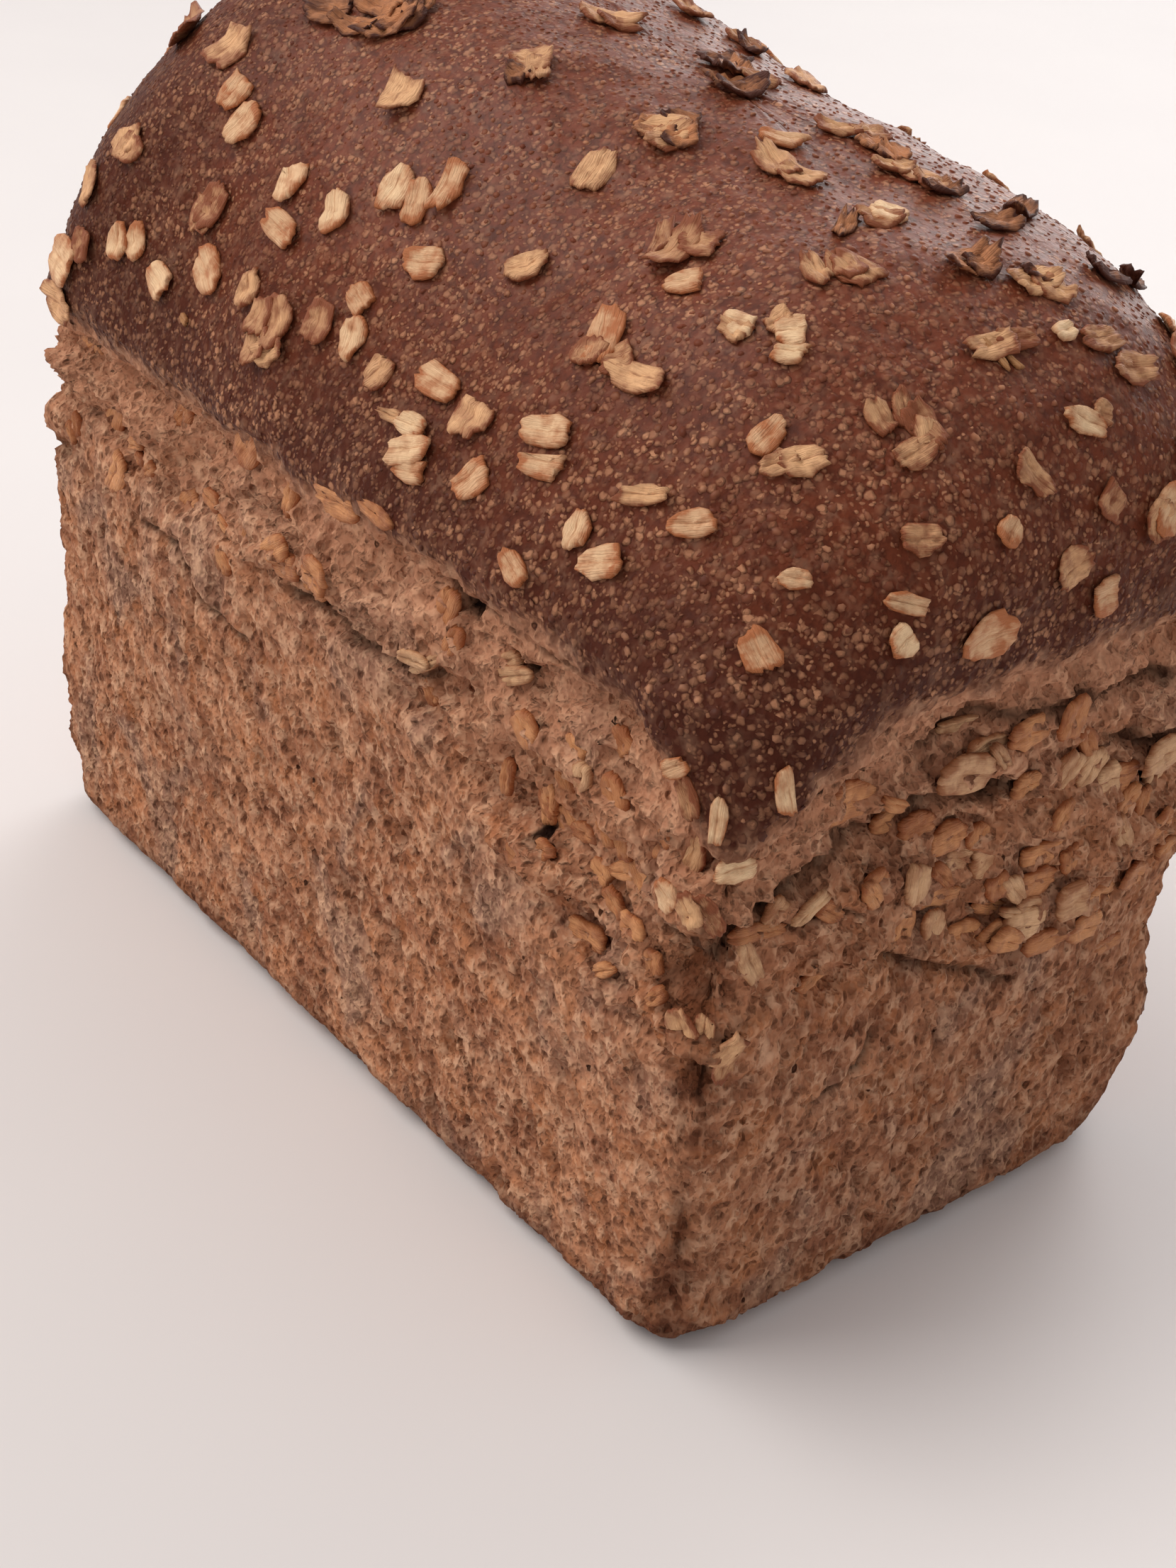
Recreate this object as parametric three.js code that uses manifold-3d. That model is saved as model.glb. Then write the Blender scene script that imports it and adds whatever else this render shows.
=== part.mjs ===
// A whole brown sourdough loaf, baked in a tin, with rolled oats baked onto its crust.
// Millimetres, +Z up. The origin is the middle of the flat base, and X runs along the loaf.
import * as THREE from 'three';
import { mergeVertices } from 'three/addons/utils/BufferGeometryUtils.js';
import Module from 'manifold-3d';

// The lower part takes the form of the tin: flat walls that lean out, with rounded edges.
const BASE_LENGTH = 191;
const BASE_WIDTH = 105;
const RIM_HEIGHT = 108;
const WALL_FLARE = 3.7;
const BASE_CORNER_RADIUS = 11;
const WALL_CORNER_RADIUS = 5;
const CORNER_TIGHT_HEIGHT = 26;
const BASE_EDGE_RADIUS = 6;

// Near the rim the dough pulled away from the tin's corners.
const RIM_CORNER_RADIUS = 21;
const CORNER_SWELL_START = 84;

// Places where the dough left the tin's plain form: corners that it didn't fill, which are pushed in,
// and parts of the dome that swelled out. Each push fades out over its reach.
const PUSHES = [
  { place: [95.5, 52.5, 0], reach: 30, push: [-2.2, -1.8, 0] },
  { place: [99, 54, 48], reach: 36, push: [-4.5, -3.5, 0] },
  { place: [-95.5, 52.5, 0], reach: 34, push: [4.5, -4, 0] },
  { place: [-99, -55, 80], reach: 62, push: [2.8, 3.6, 0] },
  { place: [-83, -42, 134], reach: 60, push: [-2.5, -2.4, 2.2] },
  { place: [34, 34, 150], reach: 80, push: [0, 2.2, 3] },
];

// The upper part rose out of the tin. It is higher at its far end and leans to the back.
const DOME_HEIGHT = 59;
const DOME_TILT = -0.11;
const DOME_STEP_DOWN = 12;
const DOME_STEP_WIDTH = 25;
const DOME_LEAN = 7.5;
const DOME_END_POWERS = { height: 2.4, width: 6.3 };
const DOME_SIDE_POWERS = { height: 1.35, width: 2.55 };
const DOME_CORNER_POWER = 0.7;
const DOUGH_WAVE = 0.9;
const WAVE_FADE = { from: 3, over: 12, rimOver: 20 };

// How far up the outline each stretch of the surface ends, as a share of the whole.
const EDGE_SHARE = 0.06;
const WALL_SHARE = 0.5;

// How the surface is divided.
const LONG_SIDE_STEPS = 12;
const END_STEPS = 8;
const CORNER_STEPS = 4;
const EDGE_ROWS = 2;
const WALL_ROWS = 10;
const DOME_ROWS = 14;

// Rolled oats on the dome: one large flake for each place, with at least this much between two.
const FLAKE_SPACING = 13.9;
const FLAKE_TRIES = 5200;
const FLAKE_LENGTH = { least: 6.8, most: 9.4 };
const FLAKE_WIDTH = { least: 4.4, most: 6.2 };
const FLAKE_HEIGHT = 1.3;
const FLAKE_ROOT = 1.6;
const FLAKE_RIM_SINK = 0.4;
const FLAKE_DIP = 0.75;
const FLAKE_TOP_SHARE = 0.6;
const FLAKE_UNEVENNESS = 0.2;
const FLAKE_SIDES = 6;
const DOME_SEED = 20417;
const DOME_BAND = { from: 0.05, over: 0.93 };

// Torn creases, each on one wall: points are [along the wall, height].
const END_WALL = [1, 0];
const FAR_WALL = [-1, 0];
const FRONT_WALL = [0, -1];
const BACK_WALL = [0, 1];
const CREASES = [
  { wall: END_WALL, radius: 2.2, points: [[-52, 79], [-37, 83], [-22, 87], [-9, 86], [0, 86]] },
  { wall: END_WALL, radius: 1.9, points: [[-17, 96], [-9, 98], [9, 97.5], [30, 95]] },
  { wall: END_WALL, radius: 1.7, points: [[14, 87], [22, 86.5], [36, 82]] },
  { wall: END_WALL, radius: 1.2, points: [[-24, 66], [-14, 60], [-6, 56.5], [8, 49]] },
  { wall: FRONT_WALL, radius: 1.2, points: [[-4, 85], [7, 86], [16, 85], [34, 88]] },
  { wall: FRONT_WALL, radius: 1.1, points: [[-58, 76], [-40, 78], [-33, 71], [-20, 69.5]] },
  { wall: FAR_WALL, radius: 2.4, points: [[-40, 88], [-20, 85], [6, 84], [30, 80], [50, 77]] },
  { wall: BACK_WALL, radius: 1.3, points: [[-60, 88], [-38, 84], [-12, 87]] },
];
const CREASE_SIDES = 4;
const CREASE_STEPS = 2;
const CREASE_SINK = 0.35;

// Open holes in the walls, each with its radius.
const HOLES = [
  { wall: END_WALL, place: [-5, 86], radius: 4.2 },
  { wall: END_WALL, place: [33, 77], radius: 3.4 },
  { wall: END_WALL, place: [-43.5, 80.5], radius: 2.6 },
  { wall: FRONT_WALL, place: [41, 102], radius: 3.4 },
  { wall: FRONT_WALL, place: [53.5, 98], radius: 2.4 },
  { wall: FRONT_WALL, place: [60, 84], radius: 2.2 },
  { wall: FAR_WALL, place: [12, 80], radius: 3.2 },
  { wall: BACK_WALL, place: [-46, 94], radius: 2.8 },
  { wall: BACK_WALL, place: [28, 97], radius: 2.4 },
];
const HOLE_FLATNESS = 0.62;
const HOLE_SINK = 0.2;

// Oats that show in the walls, in the torn band below the crust.
const BAND_STRETCHES = [
  { wall: END_WALL, reach: 44, low: 62, high: 96, count: 8 },
  { wall: FRONT_WALL, reach: 86, low: 74, high: 100, count: 5 },
  { wall: FAR_WALL, reach: 44, low: 64, high: 96, count: 5 },
  { wall: BACK_WALL, reach: 86, low: 76, high: 100, count: 4 },
];
const BAND_FLAKE_SHRINK = 0.82;
const BAND_FLAKE_SINK = 0.5;
const FIRST_BAND_INDEX = 1000;

const library = await Module();
library.setup();

const { clamp, lerp, smoothstep } = THREE.MathUtils;

// A point on a rounded rectangle, for a turn from 0 to 1 that starts at the front wall's left end.
const TURN_STEPS = 2 * (LONG_SIDE_STEPS + END_STEPS) + 4 * CORNER_STEPS;
function outlinePoint(halfLength, halfWidth, radius, turn) {
  const flatX = halfLength - radius;
  const flatY = halfWidth - radius;
  const stretches = [
    { steps: LONG_SIDE_STEPS, from: [-flatX, -halfWidth], to: [flatX, -halfWidth] },
    { steps: CORNER_STEPS, centre: [flatX, -flatY], start: -Math.PI / 2 },
    { steps: END_STEPS, from: [halfLength, -flatY], to: [halfLength, flatY] },
    { steps: CORNER_STEPS, centre: [flatX, flatY], start: 0 },
    { steps: LONG_SIDE_STEPS, from: [flatX, halfWidth], to: [-flatX, halfWidth] },
    { steps: CORNER_STEPS, centre: [-flatX, flatY], start: Math.PI / 2 },
    { steps: END_STEPS, from: [-halfLength, flatY], to: [-halfLength, -flatY] },
    { steps: CORNER_STEPS, centre: [-flatX, -flatY], start: Math.PI },
  ];
  let place = (turn % 1) * TURN_STEPS;
  for (const stretch of stretches) {
    if (place <= stretch.steps) {
      const share = place / stretch.steps;
      if (stretch.centre) {
        const angle = stretch.start + share * Math.PI / 2;
        return [stretch.centre[0] + radius * Math.cos(angle), stretch.centre[1] + radius * Math.sin(angle)];
      }
      return [0, 1].map((axis) => stretch.from[axis] + share * (stretch.to[axis] - stretch.from[axis]));
    }
    place -= stretch.steps;
  }
  return stretches[0].from;
}

// The loaf's plain surface: level runs from 0 at the base's edge to 1 at the crown.
function plainPoint(turn, level) {
  if (level < WALL_SHARE) {
    const angle = clamp(level / EDGE_SHARE, 0, 1) * Math.PI / 2;
    const wallShare = clamp((level - EDGE_SHARE) / (WALL_SHARE - EDGE_SHARE), 0, 1);
    const edgeTop = BASE_EDGE_RADIUS * (1 - Math.cos(angle));
    const height = edgeTop + wallShare * (RIM_HEIGHT - BASE_EDGE_RADIUS);
    const spread = WALL_FLARE * height / RIM_HEIGHT - BASE_EDGE_RADIUS * (1 - Math.sin(angle));
    const tight = smoothstep(height, 0, CORNER_TIGHT_HEIGHT);
    const swell = smoothstep(height, CORNER_SWELL_START, RIM_HEIGHT);
    const wallRadius = lerp(BASE_CORNER_RADIUS, WALL_CORNER_RADIUS, tight);
    const radius = lerp(wallRadius, RIM_CORNER_RADIUS, swell);
    const [x, y] = outlinePoint(BASE_LENGTH / 2 + spread, BASE_WIDTH / 2 + spread, radius, turn);
    return new THREE.Vector3(x, y, height);
  }
  const rise = Math.sin((level - WALL_SHARE) / (1 - WALL_SHARE) * Math.PI / 2);
  const shrink = ({ height, width }) => (1 - rise ** height) ** (1 / width);
  const rimHalfLength = BASE_LENGTH / 2 + WALL_FLARE;
  const halfLength = rimHalfLength * shrink(DOME_END_POWERS);
  const halfWidth = (BASE_WIDTH / 2 + WALL_FLARE) * shrink(DOME_SIDE_POWERS);
  const least = Math.min(halfLength, halfWidth);
  const roundness = rise ** DOME_CORNER_POWER;
  const radius = Math.min(RIM_CORNER_RADIUS + (least - RIM_CORNER_RADIUS) * roundness, least * 0.999);
  const [x, y] = outlinePoint(halfLength, halfWidth, radius, turn);
  const stepDown = DOME_STEP_DOWN * 0.5 * (1 + Math.tanh(x / DOME_STEP_WIDTH));
  const height = RIM_HEIGHT + rise * (DOME_HEIGHT * (1 + DOME_TILT * x / rimHalfLength) - stepDown);
  return new THREE.Vector3(x, y + DOME_LEAN * rise, height);
}

const NORMAL_STEP = 0.004;
function plainNormal(turn, level) {
  const low = Math.max(0, level - NORMAL_STEP);
  const high = Math.min(1 - NORMAL_STEP, level + NORMAL_STEP);
  const across = plainPoint(turn + NORMAL_STEP, level).sub(plainPoint(turn + 1 - NORMAL_STEP, level));
  const upward = plainPoint(turn, high).sub(plainPoint(turn, low));
  return across.cross(upward).normalize();
}

// The dough's soft waves, which die out towards the flat base.
function doughWave({ x, y, z }) {
  const longWave = Math.sin(0.047 * x + 0.8) * Math.cos(0.061 * z + 0.3);
  const onWalls = longWave + 0.7 * Math.sin(0.083 * y + 0.05 * z + 2);
  const onDome = Math.sin(0.055 * x + 0.3) * Math.sin(0.08 * y + 1.1) + 0.5 * Math.sin(0.11 * x - 0.07 * y);
  const share = clamp((z - RIM_HEIGHT) / WAVE_FADE.rimOver, 0, 1);
  return DOUGH_WAVE * lerp(onWalls, onDome, share) * clamp((z - WAVE_FADE.from) / WAVE_FADE.over, 0, 1);
}

// How far the swells and unfilled corners push a point.
function localPush(point) {
  const total = new THREE.Vector3();
  for (const { place, reach, push } of PUSHES) {
    const share = 1 - smoothstep(point.distanceTo(new THREE.Vector3(...place)), 0, reach);
    total.addScaledVector(new THREE.Vector3(...push), share);
  }
  return total;
}

function surfacePoint(turn, level) {
  const point = plainPoint(turn, level);
  const moved = point.clone().addScaledVector(plainNormal(turn, level), doughWave(point));
  return moved.add(localPush(point));
}

function toSolid(geometry) {
  geometry.deleteAttribute('normal');
  geometry.deleteAttribute('uv');
  const merged = mergeVertices(geometry, 1e-4);
  return new library.Manifold(new library.Mesh({
    numProp: 3,
    vertProperties: new Float32Array(merged.attributes.position.array),
    triVerts: new Uint32Array(merged.index.array),
  }));
}

function solidFrom(corners, faces) {
  const numbers = corners.flatMap((corner) => corner.toArray());
  const geometry = new THREE.BufferGeometry();
  geometry.setAttribute('position', new THREE.Float32BufferAttribute(numbers, 3));
  geometry.setIndex(faces);
  return toSolid(geometry);
}

// The body: rows of points from the base's edge to the crown. The base closes on its middle point,
// and the crown by a strip that joins the last row's front side to its back side.
function loafBody() {
  const levels = [];
  for (let row = 0; row < EDGE_ROWS; row++) levels.push(lerp(0, EDGE_SHARE, row / EDGE_ROWS));
  for (let row = 0; row < WALL_ROWS; row++) levels.push(lerp(EDGE_SHARE, WALL_SHARE, row / WALL_ROWS));
  for (let row = 0; row < DOME_ROWS; row++) levels.push(lerp(WALL_SHARE, 1, row / DOME_ROWS));
  const corners = [new THREE.Vector3(0, 0, 0)];
  for (const level of levels) {
    for (let step = 0; step < TURN_STEPS; step++) corners.push(surfacePoint(step / TURN_STEPS, level));
  }
  const last = levels.length - 1;
  const at = (row, step) => 1 + row * TURN_STEPS + (step + TURN_STEPS) % TURN_STEPS;
  const faces = [];
  for (let step = 0; step < TURN_STEPS; step++) {
    faces.push(0, at(0, step + 1), at(0, step));
    for (let row = 0; row < last; row++) {
      faces.push(at(row, step), at(row, step + 1), at(row + 1, step + 1));
      faces.push(at(row, step), at(row + 1, step + 1), at(row + 1, step));
    }
  }
  const halfEnd = CORNER_STEPS + END_STEPS / 2;
  const opposite = (step) => LONG_SIDE_STEPS - step;
  for (let step = -halfEnd; step < LONG_SIDE_STEPS + halfEnd; step++) {
    const front = [at(last, step), at(last, step + 1)];
    const back = [step, step + 1].map((place) => at(last, opposite(place) + LONG_SIDE_STEPS + 2 * halfEnd));
    if (step < LONG_SIDE_STEPS + halfEnd - 1) faces.push(front[0], front[1], back[1]);
    if (step > -halfEnd) faces.push(front[0], back[1], back[0]);
  }
  return solidFrom(corners, faces);
}

// A place on one wall, from how far along the wall it is and its height.
function wallPlace([wallX, wallY], along, height, sink) {
  const spread = WALL_FLARE * height / RIM_HEIGHT - sink;
  const x = wallX * (BASE_LENGTH / 2 + spread) - wallY * along;
  const y = wallY * (BASE_WIDTH / 2 + spread) + wallX * along;
  const point = new THREE.Vector3(x, y, height);
  const moved = point.clone().addScaledVector(new THREE.Vector3(wallX, wallY, 0), doughWave(point));
  return moved.add(localPush(point));
}

// A bar along a line on a wall, which is cut out as a torn crease.
function creaseCutter({ wall, radius, points }) {
  const path = new THREE.CatmullRomCurve3(
    points.map(([along, height]) => wallPlace(wall, along, height, CREASE_SINK * radius)),
  );
  const section = new THREE.Shape();
  for (let side = 0; side < CREASE_SIDES; side++) {
    const angle = side / CREASE_SIDES * 2 * Math.PI;
    section[side ? 'lineTo' : 'moveTo'](radius * Math.cos(angle), radius * Math.sin(angle));
  }
  const steps = CREASE_STEPS * (points.length - 1);
  return toSolid(new THREE.ExtrudeGeometry(section, { steps, extrudePath: path, bevelEnabled: false }));
}

function holeCutter({ wall, place, radius }) {
  const ball = new THREE.IcosahedronGeometry(radius, 0);
  ball.scale(1, 1, HOLE_FLATNESS);
  const centre = wallPlace(wall, place[0], place[1], HOLE_SINK * radius);
  ball.translate(centre.x, centre.y, centre.z);
  return toSolid(ball);
}

// The same index and topic always give the same number between 0 and 1.
const PRIME = 2147483647;
const FACTOR = 48271;
function chance(index, topic) {
  let state = (index * 7919 + topic * 104729 + 1013) % PRIME;
  for (let round = 0; round < 3; round++) state = (state * FACTOR) % PRIME;
  return state / PRIME;
}

// Even places on the dome: a place is kept where no earlier one is too near.
function flakePlaces() {
  let state = DOME_SEED;
  const draw = () => (state = (state * FACTOR) % PRIME) / PRIME;
  const places = [];
  for (let attempt = 0; attempt < FLAKE_TRIES; attempt++) {
    const turn = draw();
    const level = WALL_SHARE + (1 - WALL_SHARE) * (DOME_BAND.from + DOME_BAND.over * draw());
    const point = surfacePoint(turn, level);
    const clear = places.every((other) => other.point.distanceTo(point) > FLAKE_SPACING);
    if (clear) places.push({ turn, level, point });
  }
  return places;
}

// One rolled oat: an oval with a soft rim, a dip along its middle and a root inside the crust.
function flakeSolid(point, normal, index, shrink) {
  const length = shrink * lerp(FLAKE_LENGTH.least, FLAKE_LENGTH.most, chance(index, 1));
  const width = shrink * lerp(FLAKE_WIDTH.least, FLAKE_WIDTH.most, chance(index, 2));
  const angle = chance(index, 3) * Math.PI;
  const side = new THREE.Vector3(0, 0, 1).cross(normal);
  if (side.lengthSq() < 1e-4) side.set(1, 0, 0);
  side.normalize();
  const along = side.clone().applyAxisAngle(normal, angle);
  const across = normal.clone().cross(along);
  const place = (u, v, w) => {
    const moved = point.clone().addScaledVector(along, u).addScaledVector(across, v);
    return moved.addScaledVector(normal, w);
  };
  const corners = [place(0, 0, FLAKE_DIP * FLAKE_HEIGHT), place(0, 0, -FLAKE_ROOT)];
  for (let step = 0; step < FLAKE_SIDES; step++) {
    const turn = step / FLAKE_SIDES * 2 * Math.PI;
    const uneven = 1 + FLAKE_UNEVENNESS * (chance(index, 10 + step) - 0.5);
    const u = uneven * Math.cos(turn) * length / 2;
    const v = uneven * Math.sin(turn) * width / 2;
    corners.push(place(FLAKE_TOP_SHARE * u, FLAKE_TOP_SHARE * v, FLAKE_HEIGHT));
    corners.push(place(u, v, -FLAKE_RIM_SINK));
  }
  const inner = (step) => 2 + 2 * (step % FLAKE_SIDES);
  const outer = (step) => 3 + 2 * (step % FLAKE_SIDES);
  const faces = [];
  for (let step = 0; step < FLAKE_SIDES; step++) {
    faces.push(0, inner(step), inner(step + 1));
    faces.push(inner(step), outer(step), outer(step + 1));
    faces.push(inner(step), outer(step + 1), inner(step + 1));
    faces.push(1, outer(step + 1), outer(step));
  }
  return solidFrom(corners, faces);
}

// Oats in the torn band, one in each equal stretch of a wall.
function bandFlakes() {
  const found = [];
  let index = FIRST_BAND_INDEX;
  for (const { wall, reach, low, high, count } of BAND_STRETCHES) {
    for (let step = 0; step < count; step++) {
      index += 1;
      const along = reach * (2 * (step + lerp(0.2, 0.8, chance(index, 4))) / count - 1);
      const point = wallPlace(wall, along, lerp(low, high, chance(index, 5)), BAND_FLAKE_SINK);
      found.push(flakeSolid(point, new THREE.Vector3(...wall, 0), index, BAND_FLAKE_SHRINK));
    }
  }
  return found;
}

let loaf = loafBody();
for (const flake of bandFlakes()) loaf = loaf.add(flake);
for (const crease of CREASES) loaf = loaf.subtract(creaseCutter(crease));
for (const hole of HOLES) loaf = loaf.subtract(holeCutter(hole));
flakePlaces().forEach(({ turn, level, point }, index) => {
  loaf = loaf.add(flakeSolid(point, plainNormal(turn, level), index, 1));
});

// Cutting can leave a loose crumb of a flake, so only the largest body is kept.
const [whole] = loaf.decompose().sort((one, other) => other.volume() - one.volume());
const result = whole.getMesh();
const geometry = new THREE.BufferGeometry();
geometry.setAttribute('position', new THREE.BufferAttribute(new Float32Array(result.vertProperties), 3));
geometry.setIndex(new THREE.BufferAttribute(new Uint32Array(result.triVerts), 1));
geometry.computeVertexNormals();

const crust = new THREE.MeshStandardMaterial({ color: 0x6b3f28, roughness: 0.72, metalness: 0 });
const mesh = new THREE.Mesh(geometry, crust);
mesh.name = 'loaf';

const bread = new THREE.Group();
bread.add(mesh);

export default bread;
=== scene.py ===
import math

import bpy
import numpy as np
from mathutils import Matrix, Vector, noise
from mathutils.bvhtree import BVHTree
from mathutils.kdtree import KDTree


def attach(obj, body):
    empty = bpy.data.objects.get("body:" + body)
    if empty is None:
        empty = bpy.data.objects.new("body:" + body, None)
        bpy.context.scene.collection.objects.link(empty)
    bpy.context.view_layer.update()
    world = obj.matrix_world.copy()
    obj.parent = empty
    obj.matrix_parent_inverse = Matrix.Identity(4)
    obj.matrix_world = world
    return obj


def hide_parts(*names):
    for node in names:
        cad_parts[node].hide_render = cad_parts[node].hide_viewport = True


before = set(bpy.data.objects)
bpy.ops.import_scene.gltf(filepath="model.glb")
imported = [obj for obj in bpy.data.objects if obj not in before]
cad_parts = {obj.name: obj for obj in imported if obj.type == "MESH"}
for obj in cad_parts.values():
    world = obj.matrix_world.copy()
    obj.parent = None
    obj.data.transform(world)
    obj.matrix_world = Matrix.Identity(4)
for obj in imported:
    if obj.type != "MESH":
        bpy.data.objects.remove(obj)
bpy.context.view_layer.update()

# The camera
# It looks down on the loaf's near corner, a little from the right. Its place and turn were fitted
# to the loaf's straight edges, in the loaf's own frame, in metres and radians.
PHOTO_WIDTH = 1659
PHOTO_HEIGHT = 2212
FOCAL_PIXELS = 3101
SENSOR_SIZE = 36
CAMERA_PLACE = np.array([0.260338, -0.218391, 0.23661])
CAMERA_AZIMUTH = 0.861
CAMERA_ELEVATION = 0.534
CAMERA_ROLL = 0.093

level_right = np.array([math.cos(CAMERA_AZIMUTH), math.sin(CAMERA_AZIMUTH), 0])
camera_back = np.array([
    math.sin(CAMERA_AZIMUTH) * math.cos(CAMERA_ELEVATION),
    -math.cos(CAMERA_AZIMUTH) * math.cos(CAMERA_ELEVATION),
    math.sin(CAMERA_ELEVATION),
])
level_up = np.cross(camera_back, level_right)
camera_right = math.cos(CAMERA_ROLL) * level_right + math.sin(CAMERA_ROLL) * level_up
camera_up = math.cos(CAMERA_ROLL) * level_up - math.sin(CAMERA_ROLL) * level_right

camera_data = bpy.data.cameras.new("photo_camera")
camera_data.sensor_width = SENSOR_SIZE
camera_data.lens = FOCAL_PIXELS * SENSOR_SIZE / PHOTO_HEIGHT
camera = bpy.data.objects.new("photo_camera", camera_data)
turned = np.eye(4)
turned[:3, 0] = camera_right
turned[:3, 1] = camera_up
turned[:3, 2] = camera_back
turned[:3, 3] = CAMERA_PLACE
camera.matrix_world = turned.T.tolist()
bpy.context.scene.collection.objects.link(camera)
bpy.context.scene.camera = camera


def sight_line(pixel_x, pixel_y):
    """The direction from the camera through a pixel of the photograph's frame."""
    across = (pixel_x - PHOTO_WIDTH / 2) / FOCAL_PIXELS
    upward = (PHOTO_HEIGHT / 2 - pixel_y) / FOCAL_PIXELS
    direction = across * camera_right + upward * camera_up - camera_back
    return direction / np.linalg.norm(direction)


# The form of the loaf
# The lower part took the form of an oblong tin, with flat walls that lean out, and the dough rose
# above the tin's rim into a dome. The whole loaf is one piece of baked dough on one smooth form.
BASE_LENGTH = 0.191
BASE_WIDTH = 0.105
RIM_HEIGHT = 0.108
WALL_FLARE = 0.0037
BASE_CORNER_RADIUS = 0.011
WALL_CORNER_RADIUS = 0.005
CORNER_TIGHT_HEIGHT = 0.026
BASE_EDGE_RADIUS = 0.006
RIM_CORNER_RADIUS = 0.021
CORNER_SWELL_START = 0.084
DOME_HEIGHT = 0.059
DOME_TILT = -0.11
DOME_STEP_DOWN = 0.012
DOME_STEP_WIDTH = 0.025
DOME_LEAN = 0.0075
DOME_END_POWERS = {"height": 2.4, "width": 6.3}
DOME_SIDE_POWERS = {"height": 1.35, "width": 2.55}
DOME_CORNER_POWER = 0.7
DOUGH_WAVE = 0.0009
EDGE_SHARE = 0.06
WALL_SHARE = 0.5
TURN_PARTS = {"long": 12, "corner": 4, "end": 8}
TURN_TOTAL = 2 * (TURN_PARTS["long"] + TURN_PARTS["end"]) + 4 * TURN_PARTS["corner"]
NORMAL_STEP = 0.004
# Corners that the dough didn't fill and parts of the dome that swelled out: the place, how far the
# push reaches, and the push.
PUSHES = [
    ((0.0955, 0.0525, 0), 0.030, (-0.0022, -0.0018, 0)),
    ((0.099, 0.054, 0.048), 0.036, (-0.0045, -0.0035, 0)),
    ((-0.0955, 0.0525, 0), 0.034, (0.0045, -0.004, 0)),
    ((-0.099, -0.055, 0.080), 0.062, (0.0028, 0.0036, 0)),
    ((-0.083, -0.042, 0.134), 0.060, (-0.0025, -0.0024, 0.0022)),
    ((0.034, 0.034, 0.150), 0.080, (0, 0.0022, 0.0030)),
]


def loaf_outline(half_length, half_width, radius, turn):
    """Points on rounded rectangles. The turn runs from 0 to 1 and starts at the front wall's left end."""
    flat_x = half_length - radius
    flat_y = half_width - radius

    def straight(start, end):
        return lambda share: (start[0] + share * (end[0] - start[0]), start[1] + share * (end[1] - start[1]))

    def rounded(centre_x, centre_y, quarter):
        def on_arc(share):
            angle = (quarter + share) * math.pi / 2
            return centre_x + radius * np.cos(angle), centre_y + radius * np.sin(angle)
        return on_arc

    stretches = [
        ("long", straight((-flat_x, -half_width), (flat_x, -half_width))),
        ("corner", rounded(flat_x, -flat_y, -1)),
        ("end", straight((half_length, -flat_y), (half_length, flat_y))),
        ("corner", rounded(flat_x, flat_y, 0)),
        ("long", straight((flat_x, half_width), (-flat_x, half_width))),
        ("corner", rounded(-flat_x, flat_y, 1)),
        ("end", straight((-half_length, flat_y), (-half_length, -flat_y))),
        ("corner", rounded(-flat_x, -flat_y, 2)),
    ]
    place = (turn % 1) * TURN_TOTAL
    x = np.zeros_like(place)
    y = np.zeros_like(place)
    start = 0
    for part, point_at in stretches:
        end = start + TURN_PARTS[part]
        inside = (place >= start) & (place <= end)
        part_x, part_y = point_at((place - start) / TURN_PARTS[part])
        x = np.where(inside, part_x, x)
        y = np.where(inside, part_y, y)
        start = end
    return x, y


def smooth_share(value, low, high):
    share = np.clip((value - low) / (high - low), 0, 1)
    return share * share * (3 - 2 * share)


def plain_loaf(turn, level):
    """The smooth form: level runs from 0 at the base's edge over the rim at 0.5 to 1 at the crown."""
    angle = np.clip(level / EDGE_SHARE, 0, 1) * math.pi / 2
    wall_share = np.clip((level - EDGE_SHARE) / (WALL_SHARE - EDGE_SHARE), 0, 1)
    height = BASE_EDGE_RADIUS * (1 - np.cos(angle)) + wall_share * (RIM_HEIGHT - BASE_EDGE_RADIUS)
    spread = WALL_FLARE * height / RIM_HEIGHT - BASE_EDGE_RADIUS * (1 - np.sin(angle))
    swell = smooth_share(height, CORNER_SWELL_START, RIM_HEIGHT)
    rise = np.sin(np.clip((level - WALL_SHARE) / (1 - WALL_SHARE), 0, 1) * math.pi / 2)
    end_shrink = (1 - rise ** DOME_END_POWERS["height"]) ** (1 / DOME_END_POWERS["width"])
    side_shrink = (1 - rise ** DOME_SIDE_POWERS["height"]) ** (1 / DOME_SIDE_POWERS["width"])
    half_length = (BASE_LENGTH / 2 + spread) * end_shrink
    half_width = (BASE_WIDTH / 2 + spread) * side_shrink
    least = np.minimum(half_length, half_width)
    tight = smooth_share(height, 0, CORNER_TIGHT_HEIGHT)
    wall_radius = BASE_CORNER_RADIUS + (WALL_CORNER_RADIUS - BASE_CORNER_RADIUS) * tight
    wall_radius = wall_radius + (RIM_CORNER_RADIUS - wall_radius) * swell
    dome_radius = RIM_CORNER_RADIUS + (least - RIM_CORNER_RADIUS) * rise ** DOME_CORNER_POWER
    radius = np.minimum(np.where(level < WALL_SHARE, wall_radius, dome_radius), 0.999 * least)
    x, y = loaf_outline(half_length, half_width, radius, turn)
    step_down = DOME_STEP_DOWN * 0.5 * (1 + np.tanh(x / DOME_STEP_WIDTH))
    rim_half_length = BASE_LENGTH / 2 + WALL_FLARE
    z = height + rise * (DOME_HEIGHT * (1 + DOME_TILT * x / rim_half_length) - step_down)
    return np.stack([x, y + DOME_LEAN * rise, z], axis=-1)


def unit(vectors):
    return vectors / np.maximum(np.linalg.norm(vectors, axis=-1, keepdims=True), 1e-12)


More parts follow.
